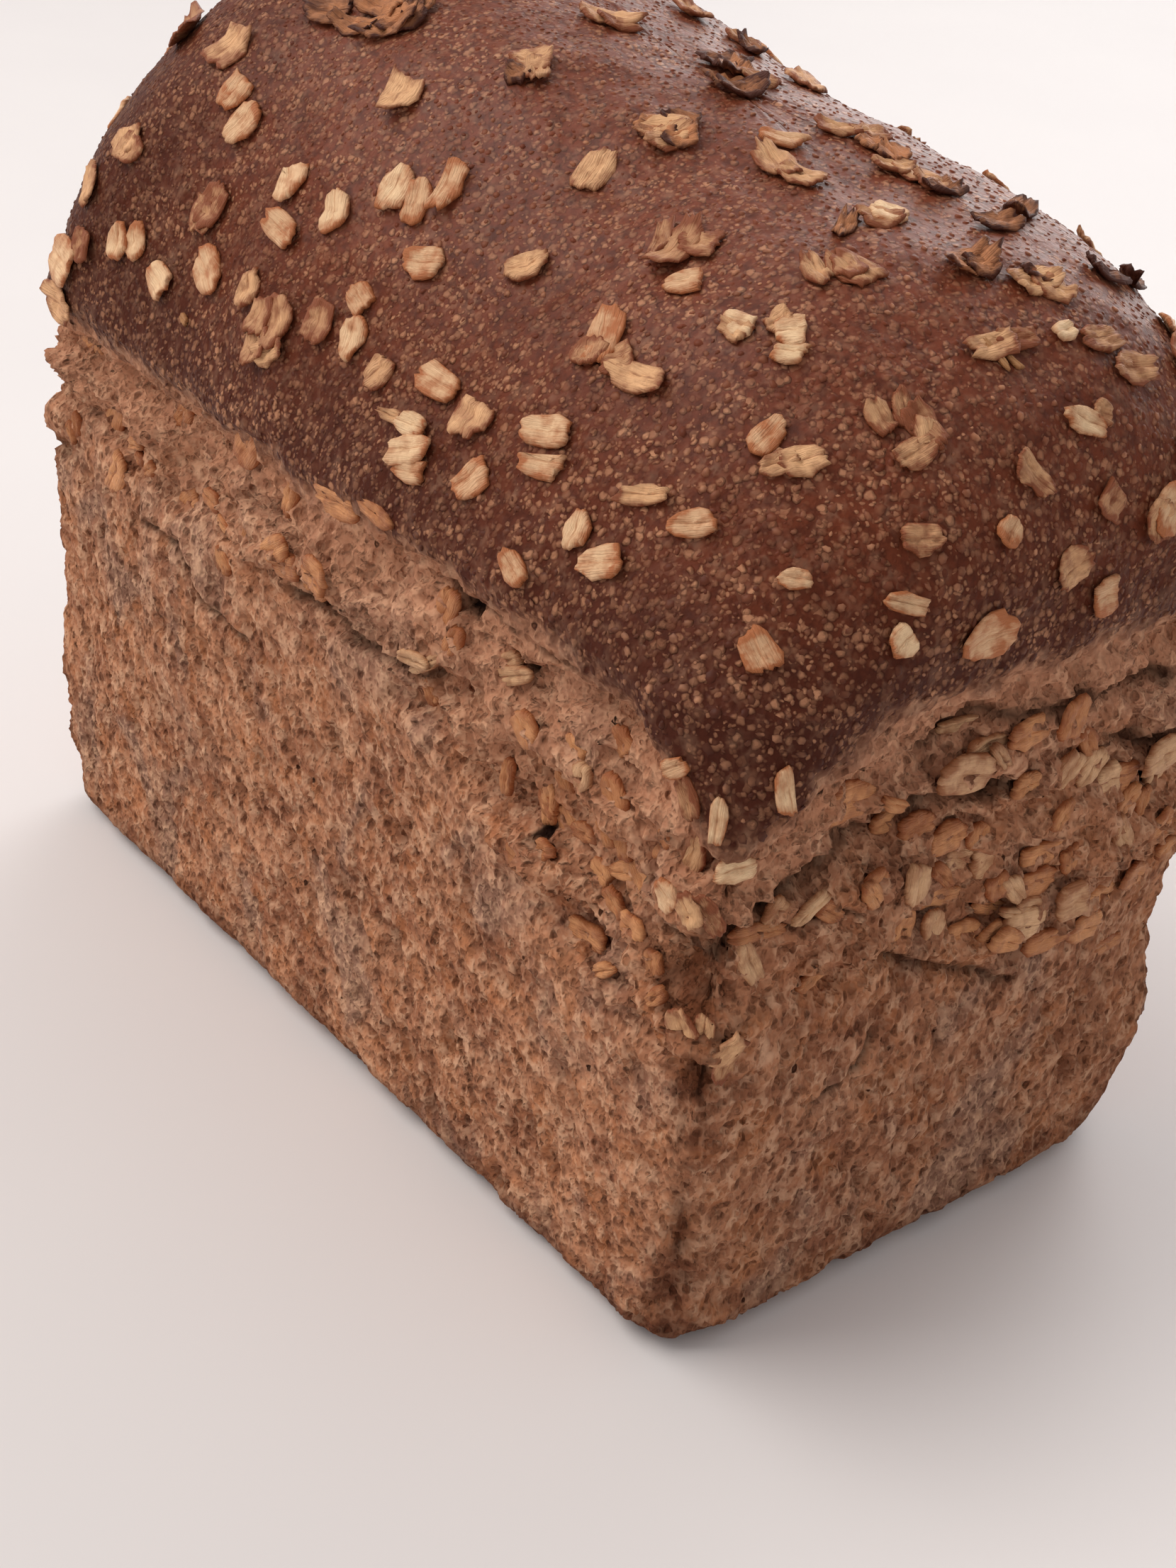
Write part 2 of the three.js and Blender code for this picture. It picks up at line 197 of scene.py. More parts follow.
def plain_normal(turn, level):
    low = np.maximum(0, level - NORMAL_STEP)
    high = np.minimum(1 - NORMAL_STEP, level + NORMAL_STEP)
    across = plain_loaf(turn + NORMAL_STEP, level) - plain_loaf(turn + 1 - NORMAL_STEP, level)
    upward = plain_loaf(turn, high) - plain_loaf(turn, low)
    return unit(np.cross(across, upward))


def dough_wave(points):
    """The dough's soft waves, which die out towards the flat base."""
    x, y, z = 1000 * np.moveaxis(points, -1, 0)
    on_walls = np.sin(0.047 * x + 0.8) * np.cos(0.061 * z + 0.3) + 0.7 * np.sin(0.083 * y + 0.05 * z + 2)
    on_dome = np.sin(0.055 * x + 0.3) * np.sin(0.08 * y + 1.1) + 0.5 * np.sin(0.11 * x - 0.07 * y)
    share = np.clip((z - 108) / 20, 0, 1)
    return DOUGH_WAVE * (on_walls + share * (on_dome - on_walls)) * np.clip((z - 3) / 12, 0, 1)


def local_push(points):
    total = np.zeros_like(points)
    for place, reach, push in PUSHES:
        share = 1 - smooth_share(np.linalg.norm(points - place, axis=-1), 0, reach)
        total += share[..., None] * np.array(push)
    return total


def smooth_loaf(turn, level):
    points = plain_loaf(turn, level)
    normals = plain_normal(turn, level)
    return points + normals * dough_wave(points)[..., None] + local_push(points), normals


# The relief of the crust and walls
# Baked dough is never smooth: the walls are open crumb with pores, creases and torn lips under
# the rim, and the crust is soft lumps. All of it moves the surface in and out along its normal.
END_WALL = (1, 0)
FAR_WALL = (-1, 0)
FRONT_WALL = (0, -1)
BACK_WALL = (0, 1)
# Each crease: the wall, its half width, and points of how far along the wall and how high.
CREASES = [
    (END_WALL, 0.0022, [(-0.056, 0.075), (-0.052, 0.079), (-0.037, 0.083), (-0.022, 0.087), (0, 0.086)]),
    (END_WALL, 0.0015, [(-0.017, 0.096), (-0.009, 0.098), (0.009, 0.0975), (0.030, 0.095)]),
    (END_WALL, 0.0016, [(0.014, 0.087), (0.022, 0.0865), (0.036, 0.082)]),
    (END_WALL, 0.0011, [(-0.024, 0.066), (-0.014, 0.060), (-0.006, 0.0565), (0.008, 0.049)]),
    (END_WALL, 0.0008, [(-0.0218, 0.0505), (-0.0245, 0.0457), (-0.031, 0.0432)]),
    (END_WALL, 0.0009, [(-0.052, 0.0793), (-0.044, 0.077), (-0.035, 0.0758), (-0.0235, 0.0739)]),
    (FRONT_WALL, 0.0011, [(-0.004, 0.085), (0.007, 0.086), (0.016, 0.085), (0.034, 0.088)]),
    (FRONT_WALL, 0.0009, [(-0.058, 0.076), (-0.040, 0.078), (-0.033, 0.071), (-0.020, 0.0695)]),
    (FRONT_WALL, 0.0008, [(0.038, 0.1035), (0.046, 0.1040), (0.053, 0.1035)]),
    (FRONT_WALL, 0.0009, [(0.058, 0.1035), (0.064, 0.1030), (0.070, 0.1018)]),
    (FRONT_WALL, 0.0007, [(0.073, 0.1022), (0.078, 0.1005), (0.084, 0.0985)]),
    (FAR_WALL, 0.0024, [(-0.040, 0.088), (-0.020, 0.085), (0.006, 0.084), (0.030, 0.080), (0.050, 0.077)]),
    (BACK_WALL, 0.0013, [(-0.060, 0.088), (-0.038, 0.084), (-0.012, 0.087)]),
    (BACK_WALL, 0.0010, [(0.018, 0.0915), (0.034, 0.0935), (0.049, 0.0905), (0.068, 0.0925)]),
    (BACK_WALL, 0.0009, [(-0.082, 0.078), (-0.071, 0.0735), (-0.060, 0.0745)]),
]
CREASE_DEPTH = 1.15
LIP_HEIGHT = 0.55
# Each open hole: the wall, how far along and how high, and its half width.
HOLES = [
    (END_WALL, -0.005, 0.086, 0.0042),
    (END_WALL, 0.033, 0.077, 0.0032),
    (END_WALL, -0.0435, 0.0805, 0.0024),
    (FRONT_WALL, 0.041, 0.102, 0.0030),
    (FRONT_WALL, 0.0535, 0.098, 0.0020),
    (FRONT_WALL, 0.060, 0.084, 0.0018),
    (FRONT_WALL, 0.0597, 0.0741, 0.0016),
    (FAR_WALL, 0.012, 0.080, 0.0032),
    (BACK_WALL, -0.046, 0.094, 0.0028),
    (BACK_WALL, -0.0405, 0.0905, 0.0017),
    (BACK_WALL, 0.028, 0.097, 0.0024),
    (BACK_WALL, 0.056, 0.087, 0.0019),
    (BACK_WALL, 0.004, 0.079, 0.0015),
]
HOLE_FLATNESS = 0.62
HOLE_DEPTH = 1.2
# Where the crust ends on each wall: how far along it and how high.
CRUST_EDGES = {
    FRONT_WALL: [
        (-0.096, 0.1045), (0.030, 0.1050), (0.060, 0.1055), (0.078, 0.1030), (0.088, 0.096), (0.097, 0.088),
    ],
    END_WALL: [
        (-0.056, 0.088), (-0.046, 0.092), (-0.040, 0.098), (-0.030, 0.1025), (0.005, 0.1045), (0.056, 0.104),
    ],
    BACK_WALL: [(-0.096, 0.104), (-0.030, 0.106), (0.040, 0.105), (0.096, 0.103)],
    FAR_WALL: [(-0.056, 0.105), (-0.020, 0.102), (0.020, 0.101), (0.056, 0.107)],
}
CRUST_EDGE_WANDER = 0.0026
CRUST_FADE = {"below": 0.0042, "above": 0.0050}
PALE_BAND = {"from": 0.016, "to": 0.003}
OVERHANG_BAND = {"from": 0.009, "to": 0.004}
# The torn band under the crust on each wall: how far along it, and where its lower end is there.
TORN_BANDS = {
    FRONT_WALL: [
        (-0.096, 0.088), (-0.040, 0.082), (0.020, 0.084), (0.050, 0.070), (0.075, 0.057), (0.097, 0.054),
    ],
    END_WALL: [
        (-0.056, 0.052), (-0.044, 0.064), (-0.020, 0.062), (0.008, 0.054), (0.035, 0.058), (0.056, 0.066),
    ],
    BACK_WALL: [(-0.096, 0.080), (-0.030, 0.084), (0.040, 0.088), (0.096, 0.070)],
    FAR_WALL: [(-0.056, 0.064), (0, 0.070), (0.056, 0.062)],
}
# Each scorched spot, where dough was caught on the tin's corner and burnt: its place and reach.
SCORCHES = [
    ((0.0935, -0.0545, 0.0675), 0.0085),
    ((0.0955, -0.0530, 0.0545), 0.0056),
]
# How far each kind of relief moves the surface.
DEPTHS = {
    "grain": 0.00025, "swells": 0.00055, "small pits": 0.00095, "open pits": 0.0015, "folds": 0.0009,
    "torn layers": 0.0048, "flaps": 0.0011, "shreds": 0.0006, "torn back": 0.0026,
    "crumbling": 0.0006, "scallops": 0.0026, "overhang": 0.0014, "crust": 0.0009, "scorch": 0.0010,
}
# Soft waves in layers: how strong each layer is, how large its waves are, and its own shift.
CRUST_EDGE_WAVES = [(0.9, 0.014, 3), (0.6, 0.0035, 5), (0.5, 0.0014, 6)]
TORN_EDGE_WAVES = [(0.005, 0.014, 7)]
WALL_LUMPS = [(0.0009, 0.028, 11), (0.0004, 0.011, 13)]
FINE_LUMPS = [(0.00022, 0.0035, 53), (0.00012, 0.0016, 71)]
CRUST_LUMPS = [(0.00055, 0.009, 47)]
CREASE_WAVES = [(0.5, 0.006, 17), (0.6, 0.0022, 19)]
HOLE_WAVES = [(0.35, 0.0022, 31)]
# The dough rose at a slant, so the crumb and its folds lean sideways with the height.
CRUMB_LEAN = (0.32, 0.25, 0)
FOLD_LEAN = (0.42, 0.36, 0)


def wall_place(wall, along, height):
    spread = WALL_FLARE * height / RIM_HEIGHT
    x = wall[0] * (BASE_LENGTH / 2 + spread) - wall[1] * along
    y = wall[1] * (BASE_WIDTH / 2 + spread) + wall[0] * along
    return np.array([x, y, height])


def noise_at(points, size, stretch=(1, 1, 1), shift=0):
    """Soft noise between about -1 and 1, with features of the given size, drawn out by the stretch."""
    scaled = points / (size * np.array(stretch)) + shift
    values = [noise.noise(place) for place in scaled.reshape(-1, 3).tolist()]
    return np.array(values).reshape(points.shape[:-1])


def waves(points, layers):
    return sum(strength * noise_at(points, size, shift=shift) for strength, size, shift in layers)


CURL = 0.35
CURLS_PER_CELL = 1.6
CELL_WALL = 0.42
# Blender shifts the curls' noise by the clock unless its seed is set.
CURL_SEED = 20417
noise.seed_set(CURL_SEED)


def cell_pits(points, size, stretch, least_chance, shift):
    """Pits between curled ridges, one in each cell of an uneven net whose chance is over the least."""
    scaled = points / (size * np.array(stretch)) + shift
    depths = []
    for place in scaled.reshape(-1, 3).tolist():
        spot = Vector(place)
        spot += CURL * noise.noise_vector(CURLS_PER_CELL * spot)
        distances, middles = noise.voronoi(spot)
        chance = (abs(noise.cell(middles[0])) - least_chance) / (1 - least_chance)
        depths.append(max(chance, 0) * min((distances[1] - distances[0]) / CELL_WALL, 1))
    return np.array(depths).reshape(points.shape[:-1])


LAYER_SIZE = 0.0090
LAYER_STRETCH = (1.7, 1.7, 0.62)
LAYERS_PER_TEAR = 3
LAYER_EDGE = 0.22


def torn_layers(points):
    """Torn layers of crumb that hang over each other: steps with steep edges, from about -1 to 1."""
    levels = LAYERS_PER_TEAR * noise_at(points, LAYER_SIZE, LAYER_STRETCH, 41)
    step = np.floor(levels)
    return (step + smooth_share(levels - step, 0, LAYER_EDGE)) / LAYERS_PER_TEAR


def along_wall(wall, points):
    return points[..., 1] * wall[0] - points[..., 0] * wall[1]


def wall_mix(table, points, normals):
    """A value that is given along each wall, blended round the corners by where the surface looks."""
    total = np.zeros(points.shape[:-1])
    weights = np.full(points.shape[:-1], 1e-9)
    for wall, rows in table.items():
        facing = np.clip(normals[..., 0] * wall[0] + normals[..., 1] * wall[1], 0, 1) ** 2
        alongs, values = zip(*rows)
        total += facing * np.interp(along_wall(wall, points), alongs, values)
        weights += facing
    return total / weights


def crease_relief(points):
    """How far each crease and its lip move the surface, and how deep inside a crease it is."""
    moved = np.zeros(points.shape[:-1])
    inside = np.zeros(points.shape[:-1])
    for wall, radius, path in CREASES:
        line = [wall_place(wall, along, height) for along, height in path]
        nearest = np.full(points.shape[:-1], 1.0)
        above = np.zeros(points.shape[:-1])
        beyond = np.zeros(points.shape[:-1])
        for start, end in zip(line[:-1], line[1:]):
            run = end - start
            share = ((points - start) @ run) / (run @ run)
            held = np.clip(share, 0, 1)
            offset = points - (start + held[..., None] * run)
            distance = np.linalg.norm(offset, axis=-1)
            closer = distance < nearest
            nearest = np.where(closer, distance, nearest)
            above = np.where(closer, offset[..., 2], above)
            beyond = np.where(closer, np.abs(share - held) * np.linalg.norm(run), beyond)
        place = (above + radius * waves(points, CREASE_WAVES)) / radius
        kept = np.exp(-(beyond / (1.5 * radius)) ** 2) * (nearest < 6 * radius)
        groove = np.exp(-(place + 0.2) ** 2 / 0.55) * kept
        lip = np.exp(-(place - 2.2) ** 2 / 2.4) * kept
        moved += radius * (LIP_HEIGHT * lip - CREASE_DEPTH * groove)
        inside = np.maximum(inside, groove)
    return moved, inside


def hole_relief(points):
    moved = np.zeros(points.shape[:-1])
    inside = np.zeros(points.shape[:-1])
    for wall, along, height, radius in HOLES:
        offset = (points - wall_place(wall, along, height)) / radius
        sideways = np.linalg.norm(offset[..., :2], axis=-1)
        reach = np.sqrt(sideways ** 2 + (offset[..., 2] / HOLE_FLATNESS) ** 2) + waves(points, HOLE_WAVES)
        pit = np.sqrt(np.clip(1 - reach ** 2, 0, 1))
        moved -= HOLE_DEPTH * radius * pit
        inside = np.maximum(inside, np.clip(1.6 * pit, 0, 1))
    return moved, inside


def scorch_relief(points, crumbling):
    """How scorched each place is, and the burnt holes in the scorched spots."""
    scorched = np.zeros(points.shape[:-1])
    for place, reach in SCORCHES:
        away = np.linalg.norm(points - place, axis=-1) / reach + 0.5 * crumbling
        scorched = np.maximum(scorched, 1 - smooth_share(away, 0.35, 1))
    return scorched, 0.8 * scorched * smooth_share(noise_at(points, 0.0024, shift=103), 0.26, 0.46)


def loaf_surface(turn, level):
    """The finished surface's points, and its masks for the baked finishes, some of them for painted shade.
    """
    smooth, normals = smooth_loaf(turn, level)
    height = smooth[..., 2]
    crust_edge = wall_mix(CRUST_EDGES, smooth, normals) + CRUST_EDGE_WANDER * waves(smooth, CRUST_EDGE_WAVES)
    torn_low = wall_mix(TORN_BANDS, smooth, normals) + waves(smooth, TORN_EDGE_WAVES)
    crust = smooth_share(height, crust_edge - CRUST_FADE["below"], crust_edge + CRUST_FADE["above"])
    band = smooth_share(height, crust_edge - PALE_BAND["from"], crust_edge - PALE_BAND["to"]) * (1 - crust)
    torn = smooth_share(height, torn_low - 0.003, torn_low + 0.003) * (1 - crust)
    above_base = np.clip(height / 0.004, 0, 1)
    corner = 1 - np.clip(np.abs(np.abs(normals[..., 0]) - np.abs(normals[..., 1])), 0, 1)
    corner = corner * (1 - np.clip((height - 0.09) / 0.01, 0, 1))

    # The crumb all over the walls: pits between ridges, grain, swells and long leaning folds.
    leaned = smooth + height[..., None] * CRUMB_LEAN
    small_pits = cell_pits(leaned, 0.0021, (1, 1, 1.25), 0, 61)
    open_pits = cell_pits(leaned, 0.0046, (1, 1, 1.4), 0.66, 67)
    grain = noise_at(leaned, 0.0013, (1, 1, 1.3), 29)
    swells = noise_at(leaned, 0.0048, (1, 1, 1.3), 23)
    folded = smooth + height[..., None] * FOLD_LEAN
    fold_lines = np.clip(1 - 8 * np.abs(noise_at(folded, 0.0085, (1, 1, 3.4), 89)), 0, 1)
    folds = fold_lines * smooth_share(noise_at(smooth, 0.013, shift=97), -0.1, 0.35)
    crumb = DEPTHS["grain"] * grain + DEPTHS["swells"] * swells - DEPTHS["small pits"] * small_pits
    crumb = crumb - DEPTHS["open pits"] * open_pits - DEPTHS["folds"] * folds

    # The torn band: layers that hang over each other, with flaps and shreds on them.
    flaps = 1 - 2 * np.abs(noise_at(smooth, 0.0036, (1, 1, 0.7), 59))
    shreds = 1 - 2 * np.abs(noise_at(leaned, 0.0019, (1.5, 1.5, 0.8), 73))
    tears = DEPTHS["torn layers"] * torn_layers(smooth) + DEPTHS["flaps"] * flaps
    tears = (tears + DEPTHS["shreds"] * shreds - DEPTHS["torn back"]) * torn

    # The corners, where the crumb broke away from the tin and browned.
    crumbling = noise_at(smooth, 0.0031, shift=79)
    broken_away = np.clip(noise_at(smooth, 0.0095, shift=43), 0, 1)
    scallops = corner * (DEPTHS["crumbling"] * crumbling - DEPTHS["scallops"] * broken_away)
    browned = corner * smooth_share(noise_at(smooth, 0.010, shift=83) + crumbling, -0.6, 0.5)
    scorched, burnt_holes = scorch_relief(smooth, crumbling)

    creases, in_crease = crease_relief(smooth)
    holes, in_hole = hole_relief(smooth)
    overhang = DEPTHS["overhang"] * band * smooth_share(
        height, crust_edge - OVERHANG_BAND["from"], crust_edge - OVERHANG_BAND["to"]
    )
    crust_lumps = crust * (waves(smooth, CRUST_LUMPS) + waves(smooth, FINE_LUMPS))
    moved = waves(smooth, WALL_LUMPS) * above_base + (1 - crust) * above_base * (crumb + tears + scallops)
    moved += crust_lumps + (creases + holes) * (1 - 0.8 * crust) - overhang + DEPTHS["crust"] * crust
    moved -= DEPTHS["scorch"] * (scorched + burnt_holes)
    # How deep each place lies in the crumb's pits and folds; the finish paints this darker as painted shade.
    hollow = 0.6 * small_pits + 0.9 * open_pits + 0.7 * folds - 0.25 * grain - 0.2 * shreds * torn
    # The pit mask is painted shade inside the creases and holes, with the charred burnt holes added.
    masks = {
        "crust": crust,
        "band": band,
        "torn": torn,
        "pit": np.clip(np.maximum(0.75 * in_crease, in_hole) * (1 - 0.8 * crust) + burnt_holes, 0, 1),
        "hollow": np.clip(hollow, 0, 1),
        "browned": np.maximum(browned, scorched),
    }
    return smooth + normals * moved[..., None], masks


# The walls, the domed crust and the underside
# One baked skin, drawn as four pieces that meet edge to edge: two runs of walls up to the tin's
# rim, the dome above them and the flat underside, which was against the bottom of the tin.
TURN_SAMPLES = [("long", 340), ("corner", 44), ("end", 190), ("corner", 44),
                ("long", 250), ("corner", 34), ("end", 124), ("corner", 34)]
WALL_ROWS = 158
CRUST_ROWS = 92
CROWN_LEVEL = 0.9995
UNDERSIDE_SHARES = [1, 0.985, 0.95, 0.88, 0.75, 0.55, 0.3, 0.02]
FLAT_LIFT = 0.0002


def turn_samples():
    turns = []
    start = 0
    for part, count in TURN_SAMPLES:
        turns.extend(start + TURN_PARTS[part] * step / count for step in range(count))
        start += TURN_PARTS[part]
    return np.array(turns) / TURN_TOTAL


def new_piece(name, points, faces, masks):
    mesh = bpy.data.meshes.new(name)
    mesh.from_pydata(np.asarray(points).reshape(-1, 3).tolist(), [], faces)
    for mask_name, values in masks.items():
        attribute = mesh.attributes.new(mask_name, "FLOAT", "POINT")
        attribute.data.foreach_set("value", np.asarray(values, dtype=np.float32).ravel())
    mesh.polygons.foreach_set("use_smooth", [True] * len(mesh.polygons))
    mesh.update()
    piece = bpy.data.objects.new(name, mesh)
    bpy.context.scene.collection.objects.link(piece)
    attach(piece, "root")
    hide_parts("loaf")
    return piece


def ring_faces(rows, count, closed=True):
    row, step = np.meshgrid(np.arange(rows - 1), np.arange(count if closed else count - 1), indexing="ij")
    after = (step + 1) % count
    corners = [row * count + step, row * count + after, (row + 1) * count + after, (row + 1) * count + step]
    return np.stack(corners, axis=-1).reshape(-1, 4).tolist()


skin_pieces = []


def add_skin(name, points, faces, masks):
    skin_pieces.append(new_piece(name, points, faces, masks))


turns = turn_samples()
ring_size = len(turns)

wall_levels = np.concatenate([
    np.linspace(0, EDGE_SHARE, 9)[:-1],
    np.linspace(EDGE_SHARE, WALL_SHARE, WALL_ROWS - 8),
])
wall_turn_grid, wall_level_grid = np.meshgrid(turns, wall_levels)
wall_points, wall_masks = loaf_surface(wall_turn_grid, wall_level_grid)
wall_points[..., 2] = np.maximum(wall_points[..., 2], 0)
wall_faces = ring_faces(WALL_ROWS, ring_size)
near_run = sum(count for _, count in TURN_SAMPLES[:4])
for piece_name, first, last in (("loaf_walls_near", 0, near_run), ("loaf_walls_far", near_run, ring_size)):
    columns = np.arange(first, last + 1) % ring_size
    run_masks = {mask_name: values[:, columns] for mask_name, values in wall_masks.items()}
    run_faces = ring_faces(WALL_ROWS, len(columns), closed=False)
    add_skin(piece_name, wall_points[:, columns], run_faces, run_masks)

crust_levels = WALL_SHARE + (CROWN_LEVEL - WALL_SHARE) * np.linspace(0, 1, CRUST_ROWS)
crust_turn_grid, crust_level_grid = np.meshgrid(turns, crust_levels)
crust_points, crust_masks = loaf_surface(crust_turn_grid, crust_level_grid)
crust_faces = ring_faces(CRUST_ROWS, ring_size)
last_ring = (CRUST_ROWS - 1) * ring_size
long_count = TURN_SAMPLES[0][1]
near_half = TURN_SAMPLES[1][1] + TURN_SAMPLES[2][1] // 2
far_half = TURN_SAMPLES[7][1] + TURN_SAMPLES[6][1] // 2
mirror_sum = long_count + long_count + 2 * near_half
for step in range(-far_half, long_count + near_half):
    front = [last_ring + place % ring_size for place in (step, step + 1)]
    back = [last_ring + (mirror_sum - place) % ring_size for place in (step, step + 1)]
    crust_faces.append(list(dict.fromkeys([front[0], front[1], back[1], back[0]])))
add_skin("loaf_crust", crust_points, crust_faces, crust_masks)

base_ring = wall_points[0]
underside_points = np.stack([base_ring * [share, share, 0] for share in UNDERSIDE_SHARES])
inner = np.array(UNDERSIDE_SHARES)[:, None] < 0.97
underside_points[..., 2] += np.where(inner, FLAT_LIFT * (1 + noise_at(underside_points, 0.008)), 0)
underside_faces = [face[::-1] for face in ring_faces(len(UNDERSIDE_SHARES), ring_size)]
innermost = (len(UNDERSIDE_SHARES) - 1) * ring_size
underside_faces.append([innermost + step for step in range(ring_size)][::-1])
underside_masks = {mask_name: np.zeros(underside_points.shape[:-1]) for mask_name in wall_masks}
add_skin("loaf_underside", underside_points, underside_faces, underside_masks)


# The baked finish of the crust and walls
# The walls are dry tan crumb with fine pores, grey and orange patches. The crust is dark and a
# little glossy, with pale dots, and a paler band lies under its edge. Masks on the skin part them.
# The darker pores, pits, creases, holes, base and near end's lower wall are painted shade, as
# are the crust's darker rim and far end, and the paler crumb ridges are a painted highlight.
def paint(red, green, blue):
    """A colour as it is seen on a screen, from 0 to 255, turned into the shader's own numbers."""
    return [((value / 255 + 0.055) / 1.055) ** 2.4 for value in (red, green, blue)] + [1]


WALL_TAN = paint(192, 134, 100)
WALL_BROWN = paint(155, 101, 74)
WALL_ORANGE = paint(182, 114, 72)
WALL_GREY = paint(152, 118, 100)
# Pale crumb for the wall's pale flecks, and a painted highlight on the crumb's ridges.
WALL_PALE_AND_HIGHLIGHT = paint(222, 176, 142)
RIM_TAN = paint(174, 130, 106)
# Brown for the browned and scorched corners, and painted shade in the pits, hollows, near end's lower wall
# and base.
SHADE_AND_SCORCH_BROWN = paint(82, 42, 27)
# Near black for the charred burnt holes, and painted shade inside the pores, creases and holes.
PIT_SHADE_AND_CHAR = paint(34, 18, 12)
BAND_TAN = paint(198, 140, 108)
CRUST_TOP = paint(116, 57, 36)
CRUST_DARK = paint(81, 38, 24)
# Darker brown for the crust's fine mottling, and painted shade at its rim and far end.
CRUST_MOTTLE_AND_SHADE = paint(60, 27, 18)
FLECK_TAN = paint(196, 139, 104)
# How many crumb pits and pores there are in a metre.
CRUMB_FINENESS = 800
PORE_SPREAD = 190


def give(tree, node, inputs):
    """Set a node's inputs, each by name or number, to a value or to the socket that it comes from."""
    for name, value in inputs.items():
        if isinstance(value, bpy.types.NodeSocket):
            tree.links.new(value, node.inputs[name])
        else:
            node.inputs[name].default_value = value


def add_node(tree, kind, inputs, **settings):
    made = tree.nodes.new(kind)
    for name, value in settings.items():
        setattr(made, name, value)
    give(tree, made, inputs)
    return made


def mixed(tree, share, first, second):
    return add_node(tree, "ShaderNodeMix", {0: share, 6: first, 7: second}, data_type="RGBA").outputs[2]


def layered(tree, colour, layers):
    """Colours laid over each other, each given as how much it covers and what it is."""
    for share, layer_colour in layers:
        colour = mixed(tree, share, colour, layer_colour)
    return colour


def between(tree, value, low, high, new_low=0, new_high=1):
    inputs = {"Value": value, "From Min": low, "From Max": high, "To Min": new_low, "To Max": new_high}
    return add_node(tree, "ShaderNodeMapRange", inputs).outputs[0]


def computed(tree, operation, first, second=0.5, third=0.5):
    return add_node(tree, "ShaderNodeMath", {0: first, 1: second, 2: third}, operation=operation).outputs[0]


def times(tree, first, second):
    return computed(tree, "MULTIPLY", first, second)


def times_plus(tree, first, second, third):
    return computed(tree, "MULTIPLY_ADD", first, second, third)


def own_place(tree):
    """The place on the piece, with how far along it and how high that is."""
    place = add_node(tree, "ShaderNodeTexCoord", {}).outputs["Object"]
    parts = add_node(tree, "ShaderNodeSeparateXYZ", {0: place})
    return place, parts.outputs["X"], parts.outputs["Z"]


def soft_noise(tree, place, fineness, detail=2, roughness=0.5, distortion=0):
    inputs = {"Vector": place, "Scale": fineness, "Detail": detail, "Roughness": roughness}
    return add_node(tree, "ShaderNodeTexNoise", {**inputs, "Distortion": distortion})


def cell_net(tree, place, fineness):
    """An uneven net of cells: how far it is to each middle, and two chances that each cell draws."""
    cells = add_node(tree, "ShaderNodeTexVoronoi", {"Vector": place, "Scale": fineness})
    chances = add_node(tree, "ShaderNodeSeparateColor", {0: cells.outputs["Color"]})
    return cells.outputs["Distance"], chances.outputs[0], chances.outputs[1]


def bumped(tree, height, strength, distance):
    inputs = {"Height": height, "Strength": strength, "Distance": distance}
    return add_node(tree, "ShaderNodeBump", inputs).outputs[0]


def mask_value(tree, name):
    return add_node(tree, "ShaderNodeAttribute", {}, attribute_name=name).outputs["Fac"]


def new_effect(name, numbers, outputs, kind="NodeSocketFloat"):
    """An empty node group with named number inputs and named outputs of one kind."""
    tree = bpy.data.node_groups.new(name, "ShaderNodeTree")
    for label, value in numbers.items():
        socket = tree.interface.new_socket(label, in_out="INPUT", socket_type="NodeSocketFloat")
        socket.default_value = value
    for label in outputs:
        tree.interface.new_socket(label, in_out="OUTPUT", socket_type=kind)
    return tree, tree.nodes.new("NodeGroupInput").outputs, tree.nodes.new("NodeGroupOutput")


def curled_place(tree, size, amount):
    """The place on the loaf, shifted by noise so that what is laid on it comes out curled and uneven."""
    place, _, _ = own_place(tree)
    shift = soft_noise(tree, place, 1 / size, 1).outputs["Color"]
    inputs = {0: shift, 1: (amount, amount, amount), 2: place}
    return add_node(tree, "ShaderNodeVectorMath", inputs, operation="MULTIPLY_ADD").outputs[0]


def crumb_effect():
    """Open crumb: large and small pits of uneven depth with ridges between, pores and mottling."""
    numbers = {"Fineness": CRUMB_FINENESS, "Pore Spread": PORE_SPREAD}
    outputs = ["Height", "Pores", "Mottle", "Patches", "Flecks"]
    tree, given, result = new_effect("open_crumb", numbers, outputs)
    curled = curled_place(tree, 0.0016, 0.0007)
    lean = {"Vector": curled, "Rotation": (0.12, -0.2, 0), "Scale": (1, 1, 0.74)}
    leaned = add_node(tree, "ShaderNodeMapping", lean).outputs[0]
    level = times(tree, soft_noise(tree, leaned, 400).outputs[0], 1.2)
    for scale_share, wide, low_chance, depth in ((1, 0.62, 0.35, -0.55), (2.1, 0.58, 0.2, -0.22)):
        distance, chance, _ = cell_net(tree, leaned, times(tree, given["Fineness"], scale_share))
        hollow = times(tree, between(tree, distance, wide, 0.18), between(tree, chance, low_chance, 1))
        level = times_plus(tree, hollow, depth, level)
    distance, chance, _ = cell_net(tree, leaned, given["Pore Spread"])
    pore_reach = times_plus(tree, chance, 0.18, -0.07)
    pores = between(tree, computed(tree, "SUBTRACT", pore_reach, distance), 0, 0.05)
    place, _, _ = own_place(tree)
    give(tree, result, {
        "Height": times_plus(tree, pores, -0.9, level),
        "Pores": pores,
        "Mottle": between(tree, soft_noise(tree, place, 105, 5, 0.68).outputs[0], 0.40, 0.60),
        "Patches": between(tree, soft_noise(tree, leaned, 52, 3, 0.6, 0.6).outputs[0], 0.54, 0.66),
        "Flecks": between(tree, soft_noise(tree, leaned, 1100, 1).outputs[0], 0.54, 0.66),
    })
    return tree


